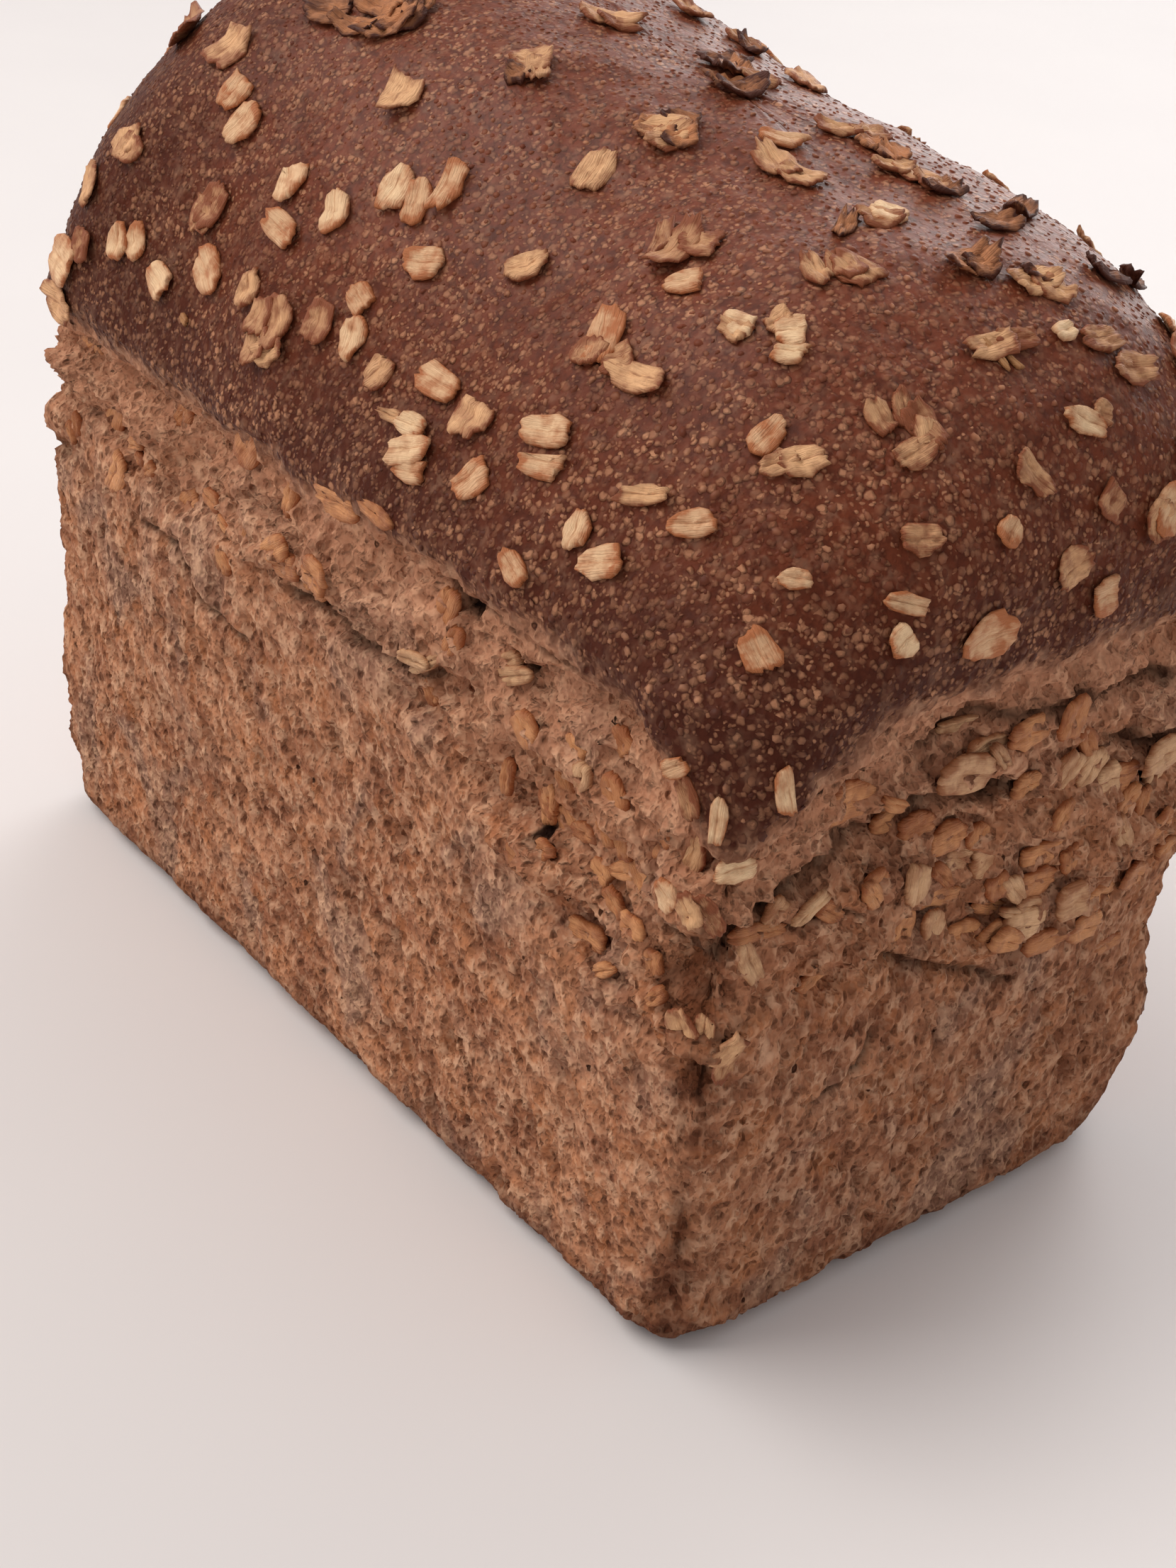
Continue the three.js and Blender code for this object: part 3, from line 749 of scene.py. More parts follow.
def fleck_effect():
    """Soft flecks of uneven size and strength, as the small blisters in the crust's skin."""
    tree, given, result = new_effect("blister_flecks", {"Fineness": 640, "Weakest": 0.3}, ["Height", "Mask"])
    distance, chance, size_chance = cell_net(tree, curled_place(tree, 0.0012, 0.0008), given["Fineness"])
    strength = between(tree, chance, given["Weakest"], 1)
    inside = computed(tree, "SUBTRACT", times_plus(tree, size_chance, 0.26, 0.32), distance)
    give(tree, result, {
        "Mask": times(tree, between(tree, inside, -0.05, 0.13), strength),
        "Height": times(tree, between(tree, inside, -0.12, 0.25), strength),
    })
    return tree


def skin_effect():
    """The crust's colour: dark brown at the rim, redder and lighter on the crown, finely mottled; the
    darkening towards the rim and the far end is painted shade.
    """
    tree, given, result = new_effect("crust_skin", {"Mottling": 0.55}, ["Colour"], "NodeSocketColor")
    place, length, height = own_place(tree)
    broad = soft_noise(tree, place, 42, 4).outputs[0]
    fine = soft_noise(tree, place, 520, 3, 0.6).outputs[0]
    # The far end is painted darker, as painted shade.
    far_end_shade = between(tree, length, -0.015, -0.10, 0, 0.040)
    uneven_height = computed(tree, "SUBTRACT", times_plus(tree, broad, 0.05, height), far_end_shade)
    # The fine mottling is the crust's own; the darker rim and far end are painted shade.
    colour = layered(tree, CRUST_DARK, [
        (between(tree, uneven_height, 0.130, 0.176), CRUST_TOP),
        (times(tree, between(tree, fine, 0.58, 0.36), given["Mottling"]), CRUST_MOTTLE_AND_SHADE),
        (between(tree, length, -0.035, -0.09, 0, 0.4), CRUST_MOTTLE_AND_SHADE),
        (between(tree, height, 0.122, 0.104, 0, 0.5), CRUST_MOTTLE_AND_SHADE),
    ])
    give(tree, result, {"Colour": colour})
    return tree


CRUMB_EFFECT = crumb_effect()
FLECK_EFFECT = fleck_effect()
SKIN_EFFECT = skin_effect()


def placed_effect(tree, effect, **numbers):
    made = tree.nodes.new("ShaderNodeGroup")
    made.node_tree = effect
    give(tree, made, numbers)
    return made.outputs


def new_finish(name):
    material = bpy.data.materials.new(name)
    material.use_nodes = True
    tree = material.node_tree
    return material, tree, tree.nodes["Principled BSDF"]


def bread_finish():
    material, tree, shader = new_finish("baked_bread")
    crumb = placed_effect(tree, CRUMB_EFFECT, Fineness=CRUMB_FINENESS)
    flecks = placed_effect(tree, FLECK_EFFECT, Fineness=760, Weakest=0.2)
    fine_flecks = placed_effect(tree, FLECK_EFFECT, Fineness=1350, Weakest=0.45)
    crust_mask = mask_value(tree, "crust")
    place, length, height = own_place(tree)

    orange = soft_noise(tree, place, 150, 3).outputs[0]
    pale = times(tree, crumb["Flecks"], times_plus(tree, crumb["Patches"], 0.35, 0.22))
    # The near end's lower wall is painted darker, as painted shade.
    low_end_shade = times(tree, between(tree, length, 0.078, 0.094), between(tree, height, 0.085, 0.06))
    uneven_height = times_plus(tree, crumb["Mottle"], 0.005, height)
    wall = layered(tree, WALL_BROWN, [
        (crumb["Mottle"], WALL_TAN),
        (between(tree, orange, 0.50, 0.64, 0, 0.5), WALL_ORANGE),
        (times(tree, crumb["Patches"], 0.75), WALL_GREY),
        (between(tree, height, 0.066, 0.098, 0, 0.55), RIM_TAN),
        # Paler on the crumb's raised ridges: a painted highlight.
        (between(tree, crumb["Height"], 0.54, 0.80, 0, 0.65), WALL_PALE_AND_HIGHLIGHT),
        (pale, WALL_PALE_AND_HIGHLIGHT),
        # Darker in the crumb's pits and hollows: painted shade.
        (between(tree, crumb["Height"], 0.50, 0.02, 0, 0.72), SHADE_AND_SCORCH_BROWN),
        (times(tree, mask_value(tree, "hollow"), 0.4), SHADE_AND_SCORCH_BROWN),
        (times(tree, mask_value(tree, "browned"), 0.8), SHADE_AND_SCORCH_BROWN),
        # The pores are painted near black: painted shade inside them.
        (times(tree, crumb["Pores"], 0.7), PIT_SHADE_AND_CHAR),
        (times(tree, low_end_shade, 0.15), SHADE_AND_SCORCH_BROWN),
        # Darker towards the base: painted shade where the loaf meets the floor.
        (between(tree, uneven_height, 0.013, 0.001, 0, 0.6), SHADE_AND_SCORCH_BROWN),
        (times(tree, mask_value(tree, "band"), 0.4), BAND_TAN),
        (times(tree, mask_value(tree, "torn"), 0.10), WALL_ORANGE),
    ])

    fleck_share = computed(tree, "MAXIMUM", flecks["Mask"], times(tree, fine_flecks["Mask"], 0.8))
    fleck_patches = between(tree, soft_noise(tree, place, 85, 2).outputs[0], 0.38, 0.62, 0.32, 0.85)
    # The flecks are painted weaker towards the far end, as painted shade there.
    fleck_strength = times(tree, fleck_patches, between(tree, length, -0.10, -0.03, 0.5, 1))
    skin = placed_effect(tree, SKIN_EFFECT, Mottling=0.6)["Colour"]
    skin = mixed(tree, times(tree, fleck_share, fleck_strength), skin, FLECK_TAN)

    edge_grain = times_plus(tree, crumb["Height"], -0.35, computed(tree, "ADD", crust_mask, 0.08))
    colour = layered(tree, wall, [
        (between(tree, edge_grain, 0.12, 0.90), skin),
        # Painted shade in the creases and holes, and the burnt holes' char.
        (mask_value(tree, "pit"), PIT_SHADE_AND_CHAR),
    ])
    gloss = times(tree, between(tree, height, 0.128, 0.160, 0.02, 0.4), crust_mask)
    crumb_height = times(tree, crumb["Height"], between(tree, crust_mask, 0, 1, 1, 0.16))
    all_flecks = times_plus(tree, fine_flecks["Height"], 0.4, flecks["Height"])
    bump_height = computed(tree, "ADD", crumb_height, times(tree, all_flecks, times(tree, crust_mask, 0.36)))
    give(tree, shader, {
        "Base Color": colour,
        "Roughness": between(tree, crust_mask, 0, 1, 0.85, 0.5),
        "Specular IOR Level": 0.06,
        "Coat Weight": times(tree, gloss, between(tree, length, -0.075, 0.01, 0.1, 1)),
        "Coat Roughness": 0.42,
        "Normal": bumped(tree, bump_height, 1.0, 0.0016),
    })
    return material


bread_material = bread_finish()
for skin_piece in skin_pieces:
    skin_piece.data.materials.append(bread_material)


# The oat flakes
# Rolled oats, pressed flat ovals with a crease along the middle, were strewn on the proved dough
# and baked on: pale ones, toasted ones, burnt curled clumps, and ones sunk into the walls.
# Each flake seen in the photograph, in its pixels: the middle, the lean of the long axis in
# degrees, the length and the width.
PALE_SEEN = [
    (337, 127, 50, 67, 37), (345, 174, 50, 67, 37), (411, 252, 75, 67, 52), (400, 324, -45, 52, 44),
    (476, 301, 80, 59, 37), (600, 374, -5, 59, 48), (171, 341, 82, 59, 30), (194, 341, 82, 59, 30),
    (94, 370, -60, 59, 44), (296, 385, -72, 59, 37), (230, 400, -60, 59, 37), (560, 268, 60, 74, 44),
    (590, 285, 75, 67, 44), (632, 262, 65, 81, 48), (514, 426, -60, 52, 44), (500, 476, 78, 67, 37),
    (625, 544, -32, 74, 52), (584, 601, -20, 44, 37), (582, 635, 5, 67, 44), (585, 668, -10, 52, 37),
    (664, 675, 40, 67, 52), (774, 612, -4, 74, 48), (777, 654, -8, 81, 52), (852, 478, 68, 89, 48),
    (816, 750, 72, 63, 37), (979, 741, 2, 74, 44), (848, 796, 2, 67, 52), (1084, 618, 48, 70, 44),
    (1122, 817, -8, 52, 33), (1111, 201, -14, 89, 30), (1252, 306, -15, 59, 37), (1283, 852, -12, 81, 33),
    (1275, 900, 45, 59, 48), (1388, 896, 28, 74, 59), (1073, 925, -62, 85, 59), (1557, 838, 20, 52, 44),
    (1421, 752, 65, 44, 37), (1532, 597, -28, 74, 33), (957, 1078, 20, 44, 41), (1012, 1158, 82, 74, 33),
    (1036, 1224, 18, 67, 44), (946, 1264, -68, 59, 30), (1111, 1117, -82, 74, 44), (1646, 716, 60, 74, 44),
    (727, 802, -60, 59, 33), (1121, 500, -5, 67, 33), (1048, 462, -18, 59, 37), (1122, 470, 10, 59, 44),
    (973, 401, 12, 74, 33), (1500, 470, 20, 37, 30), (1652, 470, -40, 67, 44),
]
TOASTED_SEEN = [
    (326, 69, 45, 74, 44), (271, 42, 62, 89, 37), (575, 130, 55, 81, 44), (752, 88, 10, 59, 44),
    (757, 100, 80, 44, 37), (857, 28, -12, 89, 37), (880, 38, -5, 74, 30), (940, 186, 0, 81, 44),
    (945, 196, 25, 67, 37), (840, 243, 55, 67, 44), (973, 20, -40, 44, 37), (1073, 116, -10, 59, 30),
    (1134, 120, -35, 59, 37), (1094, 235, -40, 67, 37), (1130, 252, -20, 67, 37), (1180, 184, -15, 67, 30),
    (1226, 192, -5, 59, 30), (1262, 240, -10, 74, 33), (1290, 250, -30, 74, 37), (1318, 262, -15, 67, 33),
    (1240, 312, -5, 67, 37), (1458, 400, 10, 67, 37), (1482, 410, -20, 59, 37), (1190, 380, -35, 59, 37),
    (1215, 388, -25, 96, 44), (1150, 384, -50, 52, 30), (930, 340, 75, 74, 33), (955, 352, 50, 89, 44),
    (995, 350, 5, 74, 44), (747, 378, 28, 70, 37), (302, 290, 60, 74, 37), (288, 305, 75, 59, 37),
    (184, 195, 75, 59, 37), (186, 212, 60, 52, 37), (130, 260, 82, 59, 30), (120, 343, 82, 59, 30),
    (86, 426, -40, 52, 37), (354, 405, 80, 67, 33), (372, 440, 72, 74, 37), (392, 455, 75, 81, 44),
    (366, 482, 80, 67, 37), (384, 496, 20, 44, 37), (453, 455, 75, 67, 37), (539, 520, 48, 67, 37),
    (560, 590, -20, 44, 22), (671, 590, 58, 81, 48), (879, 506, 25, 67, 37), (905, 534, -20, 81, 52),
    (834, 500, 60, 52, 44), (915, 700, -2, 81, 30), (1040, 470, -25, 52, 37), (1105, 455, 30, 52, 37),
    (1100, 655, 20, 59, 37), (1132, 652, 10, 74, 48), (1300, 761, 0, 67, 52), (1245, 596, -55, 67, 37),
    (1275, 580, -70, 67, 37), (1300, 600, -50, 74, 44), (1290, 640, 30, 67, 44), (1310, 618, -75, 67, 37),
    (1454, 671, -52, 74, 37), (1563, 704, 60, 59, 44), (1510, 802, 38, 59, 44), (1547, 480, 10, 59, 37),
    (1594, 521, -5, 59, 44), (1400, 488, 15, 67, 52), (1432, 480, 0, 59, 30), (973, 1123, -70, 74, 30),
    (984, 1196, 75, 67, 33), (975, 1285, -72, 59, 30), (1001, 1288, -60, 67, 33), (1555, 585, -35, 44, 30),
    (1630, 730, 70, 67, 37), (1046, 60, -30, 52, 30), (965, 1448, -78, 70, 37), (994, 1452, 82, 74, 37),
    (1028, 1470, 42, 81, 37), (1020, 1496, 60, 59, 30),
]
BURNT_SEEN = [
    (476, 20, 0, 89, 37), (500, 38, -15, 59, 30), (548, 40, 20, 89, 37), (572, 30, 40, 67, 37),
    (540, 14, -10, 59, 30), (735, 108, -20, 44, 30), (930, 182, -5, 74, 30), (965, 200, 10, 59, 30),
    (1020, 90, 0, 59, 37), (1040, 100, 25, 59, 30), (1025, 120, -10, 67, 37), (1050, 132, 10, 59, 37),
    (1060, 72, -30, 52, 30), (1190, 322, 60, 52, 30), (1410, 318, 5, 74, 30), (1436, 300, 30, 59, 30),
    (1365, 372, 20, 67, 37), (1385, 380, 0, 52, 30), (1470, 392, 0, 59, 30), (1560, 388, -20, 67, 30),
    (1590, 398, -25, 67, 30), (1330, 268, 10, 59, 30), (1235, 208, -10, 52, 30), (1262, 225, -30, 52, 30),
    (960, 175, -20, 52, 30), (590, 15, 50, 44, 30),
]
SUNK_SEEN = [
    (160, 586, 78, 81, 37), (260, 581, 60, 44, 30), (164, 664, 72, 59, 33), (133, 487, 40, 44, 37),
    (348, 630, 60, 59, 44), (271, 708, 40, 59, 44), (409, 702, 80, 59, 22), (385, 775, 30, 59, 37),
    (402, 795, -20, 59, 37), (476, 708, -30, 67, 37), (529, 724, -40, 67, 26), (442, 813, -50, 52, 37),
    (630, 857, 70, 81, 37), (741, 1029, -62, 67, 37), (868, 1128, -72, 89, 37), (807, 1172, -70, 81, 33),
    (852, 1235, -65, 59, 30), (929, 1189, -60, 81, 59), (890, 1310, -50, 52, 30), (830, 1316, -35, 67, 37),
    (1200, 1131, 15, 74, 44),
    (1452, 1036, 25, 67, 37), (1515, 1014, 70, 67, 44), (1578, 1094, 20, 59, 41), (1292, 1167, 25, 59, 37),
    (1336, 1184, 30, 59, 37), (1239, 1247, 60, 52, 37), (1321, 1264, 12, 67, 26), (1476, 1198, 20, 74, 37),
    (1510, 1206, 78, 52, 22), (1461, 1242, 20, 59, 37), (1553, 1261, 18, 67, 30), (1273, 1310, 75, 59, 37),
    (1355, 1317, 15, 59, 30), (1403, 1319, 30, 59, 30), (1423, 1329, 0, 52, 30), (1476, 1322, 25, 67, 37),
    (1232, 1262, -60, 44, 30), (1408, 1249, 80, 44, 30), (1641, 1160, 40, 67, 30), (1600, 1235, 20, 59, 30),
    (1069, 1315, 12, 89, 22), (815, 1060, -70, 59, 30), (905, 1235, -70, 59, 30), (880, 1050, -65, 59, 30),
    (1530, 1310, 20, 67, 30), (1560, 1330, 30, 52, 22), (1400, 1275, -10, 59, 30), (1500, 1150, 60, 59, 22),
    (640, 900, 70, 52, 30), (1250, 1160, 20, 52, 30), (1590, 1130, 50, 59, 22), (1380, 1180, 60, 44, 30),
]
SUNK_PALE_SEEN = [
    (603, 934, 20, 59, 26), (586, 929, -20, 52, 18), (722, 930, 20, 67, 30), (728, 952, 5, 67, 30),
    (824, 1095, 75, 37, 30), (1357, 1092, 5, 81, 52), (1353, 1017, 15, 67, 22), (1389, 1048, 25, 67, 37),
    (1411, 1068, -60, 44, 22), (1539, 1080, 55, 67, 30), (1580, 1179, -82, 59, 30), (1348, 1208, 0, 44, 37),
    (1389, 1213, 40, 52, 48), (1294, 1238, 76, 81, 33), (1428, 1252, -55, 44, 33), (1515, 1271, 25, 59, 44),
    (1437, 1287, -5, 67, 18), (1452, 1275, 5, 44, 22), (1442, 1305, 15, 67, 37), (1311, 1308, 75, 59, 41),
    (1094, 1282, 50, 74, 30), (1140, 1282, 42, 74, 18), (1055, 1354, -72, 59, 37), (1641, 1063, 30, 67, 37),
    (1505, 1085, 55, 67, 30), (1625, 1090, 60, 52, 30), (1563, 1098, 20, 52, 37),
]
SLIVER_SEEN = [
    (1402, 500, -48, 67, 8), (1417, 478, 2, 59, 9), (1432, 516, -40, 37, 7), (263, 452, -60, 22, 9),
]
# How each kind of flake is made: how thick it is, how far it sinks in, how much it curls, crinkles
# and frays, where it is seen, its colours, how toasted it is and how much crumb clings to it.
OAT_KINDS = {
    "pale": dict(
        thick=0.0008, sink=0, curl=0.07, crinkle=0.00026, ragged=0.14, seen=PALE_SEEN,
        light=paint(242, 204, 160), brown=paint(176, 106, 64), toast=0.9, crumb=0,
    ),
    "toasted": dict(
        thick=0.0007, sink=0, curl=0.12, crinkle=0.00042, ragged=0.24, seen=TOASTED_SEEN,
        light=paint(230, 178, 130), brown=paint(138, 76, 46), toast=1.05, crumb=0,
    ),
    "burnt": dict(
        thick=0.0007, sink=0, curl=0.17, crinkle=0.00060, ragged=0.30, seen=BURNT_SEEN,
        light=paint(196, 130, 86), brown=paint(78, 38, 24), toast=1.2, crumb=0,
    ),
    "sunk": dict(
        thick=0.0011, sink=0.0009, curl=0.03, crinkle=0.00030, ragged=0.14, seen=SUNK_SEEN,
        light=paint(214, 150, 100), brown=paint(156, 90, 52), toast=0.8, crumb=0.4,
    ),
    "sunk_pale": dict(
        thick=0.0011, sink=0.0005, curl=0.04, crinkle=0.00022, ragged=0.12, seen=SUNK_PALE_SEEN,
        light=paint(226, 180, 136), brown=paint(158, 102, 66), toast=0.8, crumb=0.2,
    ),
    "sliver": dict(
        thick=0.0006, sink=0, curl=0.03, crinkle=0.00005, ragged=0, seen=SLIVER_SEEN,
        light=paint(200, 146, 98), brown=paint(150, 92, 50), toast=0.6, crumb=0,
    ),
}
FLAKE_SIZE = 0.96
FLAKE_SPOKES = 22
TOP_RINGS = [0.3, 0.6, 0.82, 0.95, 1.0]
UNDER_RINGS = [0.8, 0.4]
# The uneven outline's waves: how strong they are, and how many of them there are.
OUTLINE_WAVES = [(0.24, 1), (0.14, 3)]
RAGGED_WAVES = 6
CREASE_HALF_WIDTH = 0.06
LOBE_MIDDLE = 0.45
BROKEN_SHARE = 0.42
SLICED_SHARE = 0.2
# What each flake draws by chance, from the least to the most.
FLAKE_DRAWS = {
    "cut": (0.45, 0.75), "taper": (-0.125, 0.125), "crease": (0.05, 0.40), "slice": (0.35, 0.75),
    "slant": (-0.25, 0.25), "curl": (0.4, 1.4), "cross curl": (-0.3, 0.7),
}
NO_CUT = 2
FLAKE_TILT = 0.13
SLOPE_LIMIT = 1.5


def flake_mesh(kind, length, width, draw):
    """One flake about its own middle: points along, across and up, its faces and its masks."""
    shape = OAT_KINDS[kind]
    steps = np.arange(FLAKE_SPOKES) / FLAKE_SPOKES * 2 * math.pi
    spokes = steps - 0.33 * np.sin(2 * steps)
    seed = 100 * draw.random()
    outline_waves = OUTLINE_WAVES + [(shape["ragged"], RAGGED_WAVES)]
    uneven = np.array([
        sum((strength * noise.noise((turns * a, turns * b, seed)) for strength, turns in outline_waves), 1)
        for a, b in zip(np.cos(spokes).tolist(), np.sin(spokes).tolist())
    ])
    is_broken = draw.random() < BROKEN_SHARE
    cut, taper, crease = (draw.uniform(*FLAKE_DRAWS[name]) for name in ("cut", "taper", "crease"))
    side_cut = draw.uniform(*FLAKE_DRAWS["slice"]) if draw.random() < SLICED_SHARE else NO_CUT
    slant, curl, cross_curl = (draw.uniform(*FLAKE_DRAWS[name]) for name in ("slant", "curl", "cross curl"))
    rows = []
    for share in TOP_RINGS + UNDER_RINGS:
        is_top = len(rows) < len(TOP_RINGS)
        u = share * np.cos(spokes) * uneven
        v = share * np.sign(np.sin(spokes)) * np.abs(np.sin(spokes)) ** 0.8 * uneven
        v = v * (1 + taper * u)
        if is_broken:
            jag = 0.16 * np.array([noise.noise((seed, 9 * place, 0)) for place in v])
            u = np.minimum(u, (cut + jag + slant * v) * share)
        v = np.minimum(v, (side_cut + slant * u) * share)
        dome = max(0, 1 - share ** 12) ** 0.5
        lobes = np.exp(-((np.abs(v) - LOBE_MIDDLE) / 0.3) ** 2)
        groove = crease * np.exp(-(v / CREASE_HALF_WIDTH) ** 2) * (1 - share ** 3)
        top = shape["thick"] * (dome * (0.86 + 0.14 * lobes) - groove)
        up = top if is_top else np.full(FLAKE_SPOKES, -0.5 * shape["thick"] * (1 - share))
        up = up + shape["curl"] * (curl * length * u ** 2 + cross_curl * width * v ** 2)
        crinkle = np.array([noise.noise((3 * a + seed, 3 * b, 5)) for a, b in zip(u, v)])
        rows.append((u, v, up + shape["crinkle"] * crinkle * (1.6 if is_top else 1.0)))
    u, v, up = (np.concatenate(parts) for parts in zip(*rows))
    u = np.append(u, [0, 0])
    v = np.append(v, [0, 0])
    up = np.append(up, [0.45 * shape["thick"], -0.5 * shape["thick"]])
    points = np.stack([u * length / 2, v * width / 2, up], axis=-1)
    ring_count = len(TOP_RINGS) + len(UNDER_RINGS)
    top_middle = ring_count * FLAKE_SPOKES
    last = top_middle - FLAKE_SPOKES
    faces = [[face[0], *face[:0:-1]] for face in ring_faces(ring_count, FLAKE_SPOKES)]
    for step in range(FLAKE_SPOKES):
        after = (step + 1) % FLAKE_SPOKES
        faces.append([top_middle, step, after])
        faces.append([top_middle + 1, last + after, last + step])
    edge = np.append(np.repeat(TOP_RINGS + UNDER_RINGS, FLAKE_SPOKES), [0, 0])
    toasted_tip = np.clip(u * edge * (1 if draw.random() < 0.5 else -1), 0, 1)
    tip_strength = 1 if draw.random() < 0.6 else 0.2
    masks = {
        "along": u,
        "across": v,
        "edge": np.clip(0.7 * edge ** 5 + 0.9 * toasted_tip ** 2 * tip_strength, 0, 1),
        "tone": np.full(len(u), draw.random()),
    }
    return points, faces, masks


def axes_from(normal, toward):
    along = toward - normal * (toward @ normal)
    along = unit(along)
    return along, np.cross(normal, along)


class FlakeHeap:
    """All the flakes of one kind, joined into one piece."""

    def __init__(self, kind):
        self.kind = kind
        self.lift = 0.3 * OAT_KINDS[kind]["thick"] - OAT_KINDS[kind]["sink"]
        self.points = []
        self.faces = []
        self.masks = {"along": [], "across": [], "edge": [], "tone": []}
        self.count = 0

    def add(self, place, normal, toward, length, width, draw):
        points, faces, masks = flake_mesh(self.kind, length, width, draw)
        tilt = FLAKE_TILT * (np.array([draw.random(), draw.random(), draw.random()]) - 0.5)
        normal = unit(normal + tilt)
        along, across = axes_from(normal, toward)
        moved = place + normal * self.lift + points[:, :1] * along
        self.points.append(moved + points[:, 1:2] * across + points[:, 2:] * normal)
        self.faces.extend([corner + self.count for corner in face] for face in faces)
        self.count += len(points)
        for name, values in masks.items():
            self.masks[name].append(values)

    def piece(self):
        masks = {name: np.concatenate(values) for name, values in self.masks.items()}
        return new_piece(f"oats_{self.kind}", np.concatenate(self.points), self.faces, masks)


COARSE_TURNS = 224


def coarse_form():
    """The smooth form with few faces, which gives each flake its lean."""
    coarse_turns = np.arange(COARSE_TURNS) / COARSE_TURNS
    levels = np.concatenate([np.linspace(0, WALL_SHARE, 40)[:-1], np.linspace(WALL_SHARE, CROWN_LEVEL, 50)])
    turn_grid, level_grid = np.meshgrid(coarse_turns, levels)
    points, _ = smooth_loaf(turn_grid, level_grid)
    return BVHTree.FromPolygons(points.reshape(-1, 3).tolist(), ring_faces(len(levels), COARSE_TURNS))


smooth_tree = coarse_form()
skin_points = np.concatenate([wall_points.reshape(-1, 3), crust_points.reshape(-1, 3)])
crust_start = wall_points.shape[0] * ring_size
skin_faces = wall_faces + [[corner + crust_start for corner in face] for face in crust_faces]
skin_tree = BVHTree.FromPolygons(skin_points.tolist(), skin_faces)
camera_spot = Vector(CAMERA_PLACE)


def on_skin(point):
    """The nearest place on the finished skin, with the smooth form's normal there."""
    place = skin_tree.find_nearest(Vector(point))[0]
    normal = smooth_tree.find_nearest(place)[1]
    return np.array(place), np.array(normal)


# Where a pixel just misses the skin, how many pixels further in it is tried again.
STEPS_INWARD = (0, 12, 24, 40, 60)


def seen_place(pixel_x, pixel_y, lean):
    """Where a pixel of the photograph meets the skin, and the way that a lean in the picture runs there."""
    spot = None
    for inward in STEPS_INWARD:
        toward_x = pixel_x + inward * np.sign(PHOTO_WIDTH / 2 - pixel_x)
        toward_y = pixel_y + inward
        spot = skin_tree.ray_cast(camera_spot, Vector(sight_line(toward_x, toward_y)))[0]
        if spot is not None:
            break
    place, normal = on_skin(spot)
    view = unit(place - CAMERA_PLACE)
    pixel_size = np.linalg.norm(place - CAMERA_PLACE) / FOCAL_PIXELS
    ways = []
    for turned in (math.radians(lean), math.radians(lean + 90)):
        seen = math.cos(turned) * camera_right + math.sin(turned) * camera_up
        ways.append(seen - view * ((seen @ normal) / (view @ normal)))
    scales = [FLAKE_SIZE * pixel_size * min(np.linalg.norm(way), SLOPE_LIMIT) for way in ways]
    return place, normal, ways[0], *scales


# The dome's other flakes are strewn: the seed of the draws, how many places are tried, how far
# apart they stay, and the share of the dome's height that they cover.
DOME_SEED = 20417
PRIME = 2147483647
FACTOR = 48271
FLAKE_TRIES = 5200
FLAKE_SPACING = 0.0139
DOME_BAND = {"from": 0.05, "over": 0.93}
CLUSTER_SPREAD = 0.0050
SEEN_CLEARANCE = 0.008
STREWN_LENGTH = (0.0066, 0.0094)
STREWN_WIDTH = (0.48, 0.68)
STREWN_KINDS = {"pale": 0.4, "toasted": 0.42, "burnt": 0.18}

flake_draw = np.random.default_rng(DOME_SEED)
heaps = {kind: FlakeHeap(kind) for kind in OAT_KINDS}
seen_spots = []
for kind, shape in OAT_KINDS.items():
    for pixel_x, pixel_y, lean, length, width in shape["seen"]:
        place, normal, toward, long_scale, wide_scale = seen_place(pixel_x, pixel_y, lean)
        heaps[kind].add(place, normal, toward, length * long_scale, width * wide_scale, flake_draw)
        seen_spots.append(place)


def is_in_view(place, normal):
    """Whether the photograph shows this place, so that its flakes are already listed."""
    offset = place - CAMERA_PLACE
    depth = -(offset @ camera_back)
    pixel_x = PHOTO_WIDTH / 2 + FOCAL_PIXELS * (offset @ camera_right) / depth
    pixel_y = PHOTO_HEIGHT / 2 - FOCAL_PIXELS * (offset @ camera_up) / depth
    faces_camera = unit(-offset) @ normal > 0.06
    return faces_camera and 0 < pixel_x < PHOTO_WIDTH and 0 < pixel_y < PHOTO_HEIGHT


def even_places():
    """Evenly strewn places on the dome: one is kept where no earlier one is too near."""
    state = DOME_SEED
    draws = []
    for _ in range(2 * FLAKE_TRIES):
        state = state * FACTOR % PRIME
        draws.append(state / PRIME)
    dome_shares = DOME_BAND["from"] + DOME_BAND["over"] * np.array(draws[1::2])
    points, _ = smooth_loaf(np.array(draws[0::2]), WALL_SHARE + (1 - WALL_SHARE) * dome_shares)
    kept = []
    for point in points:
        if all(np.linalg.norm(point - other) > FLAKE_SPACING for other in kept):
            kept.append(point)
    return kept


def seen_distance(place):
    return min(np.linalg.norm(np.array(seen_spots) - place, axis=1))


for point in even_places():
    place, normal = on_skin(point)
    if is_in_view(place, normal) or seen_distance(place) < SEEN_CLEARANCE:
        continue
    members = 1 + int(3.2 * flake_draw.random() ** 2)
    kind = flake_draw.choice(list(STREWN_KINDS), p=list(STREWN_KINDS.values()))
    for member in range(members):
        toward = flake_draw.normal(size=3)
        apart = CLUSTER_SPREAD * unit(np.cross(normal, flake_draw.normal(size=3))) * (member > 0)
        spot, spot_normal = on_skin(place + apart)
        length = flake_draw.uniform(*STREWN_LENGTH)
        width = length * flake_draw.uniform(*STREWN_WIDTH)
        heaps[kind].add(spot, spot_normal, toward, length, width, flake_draw)

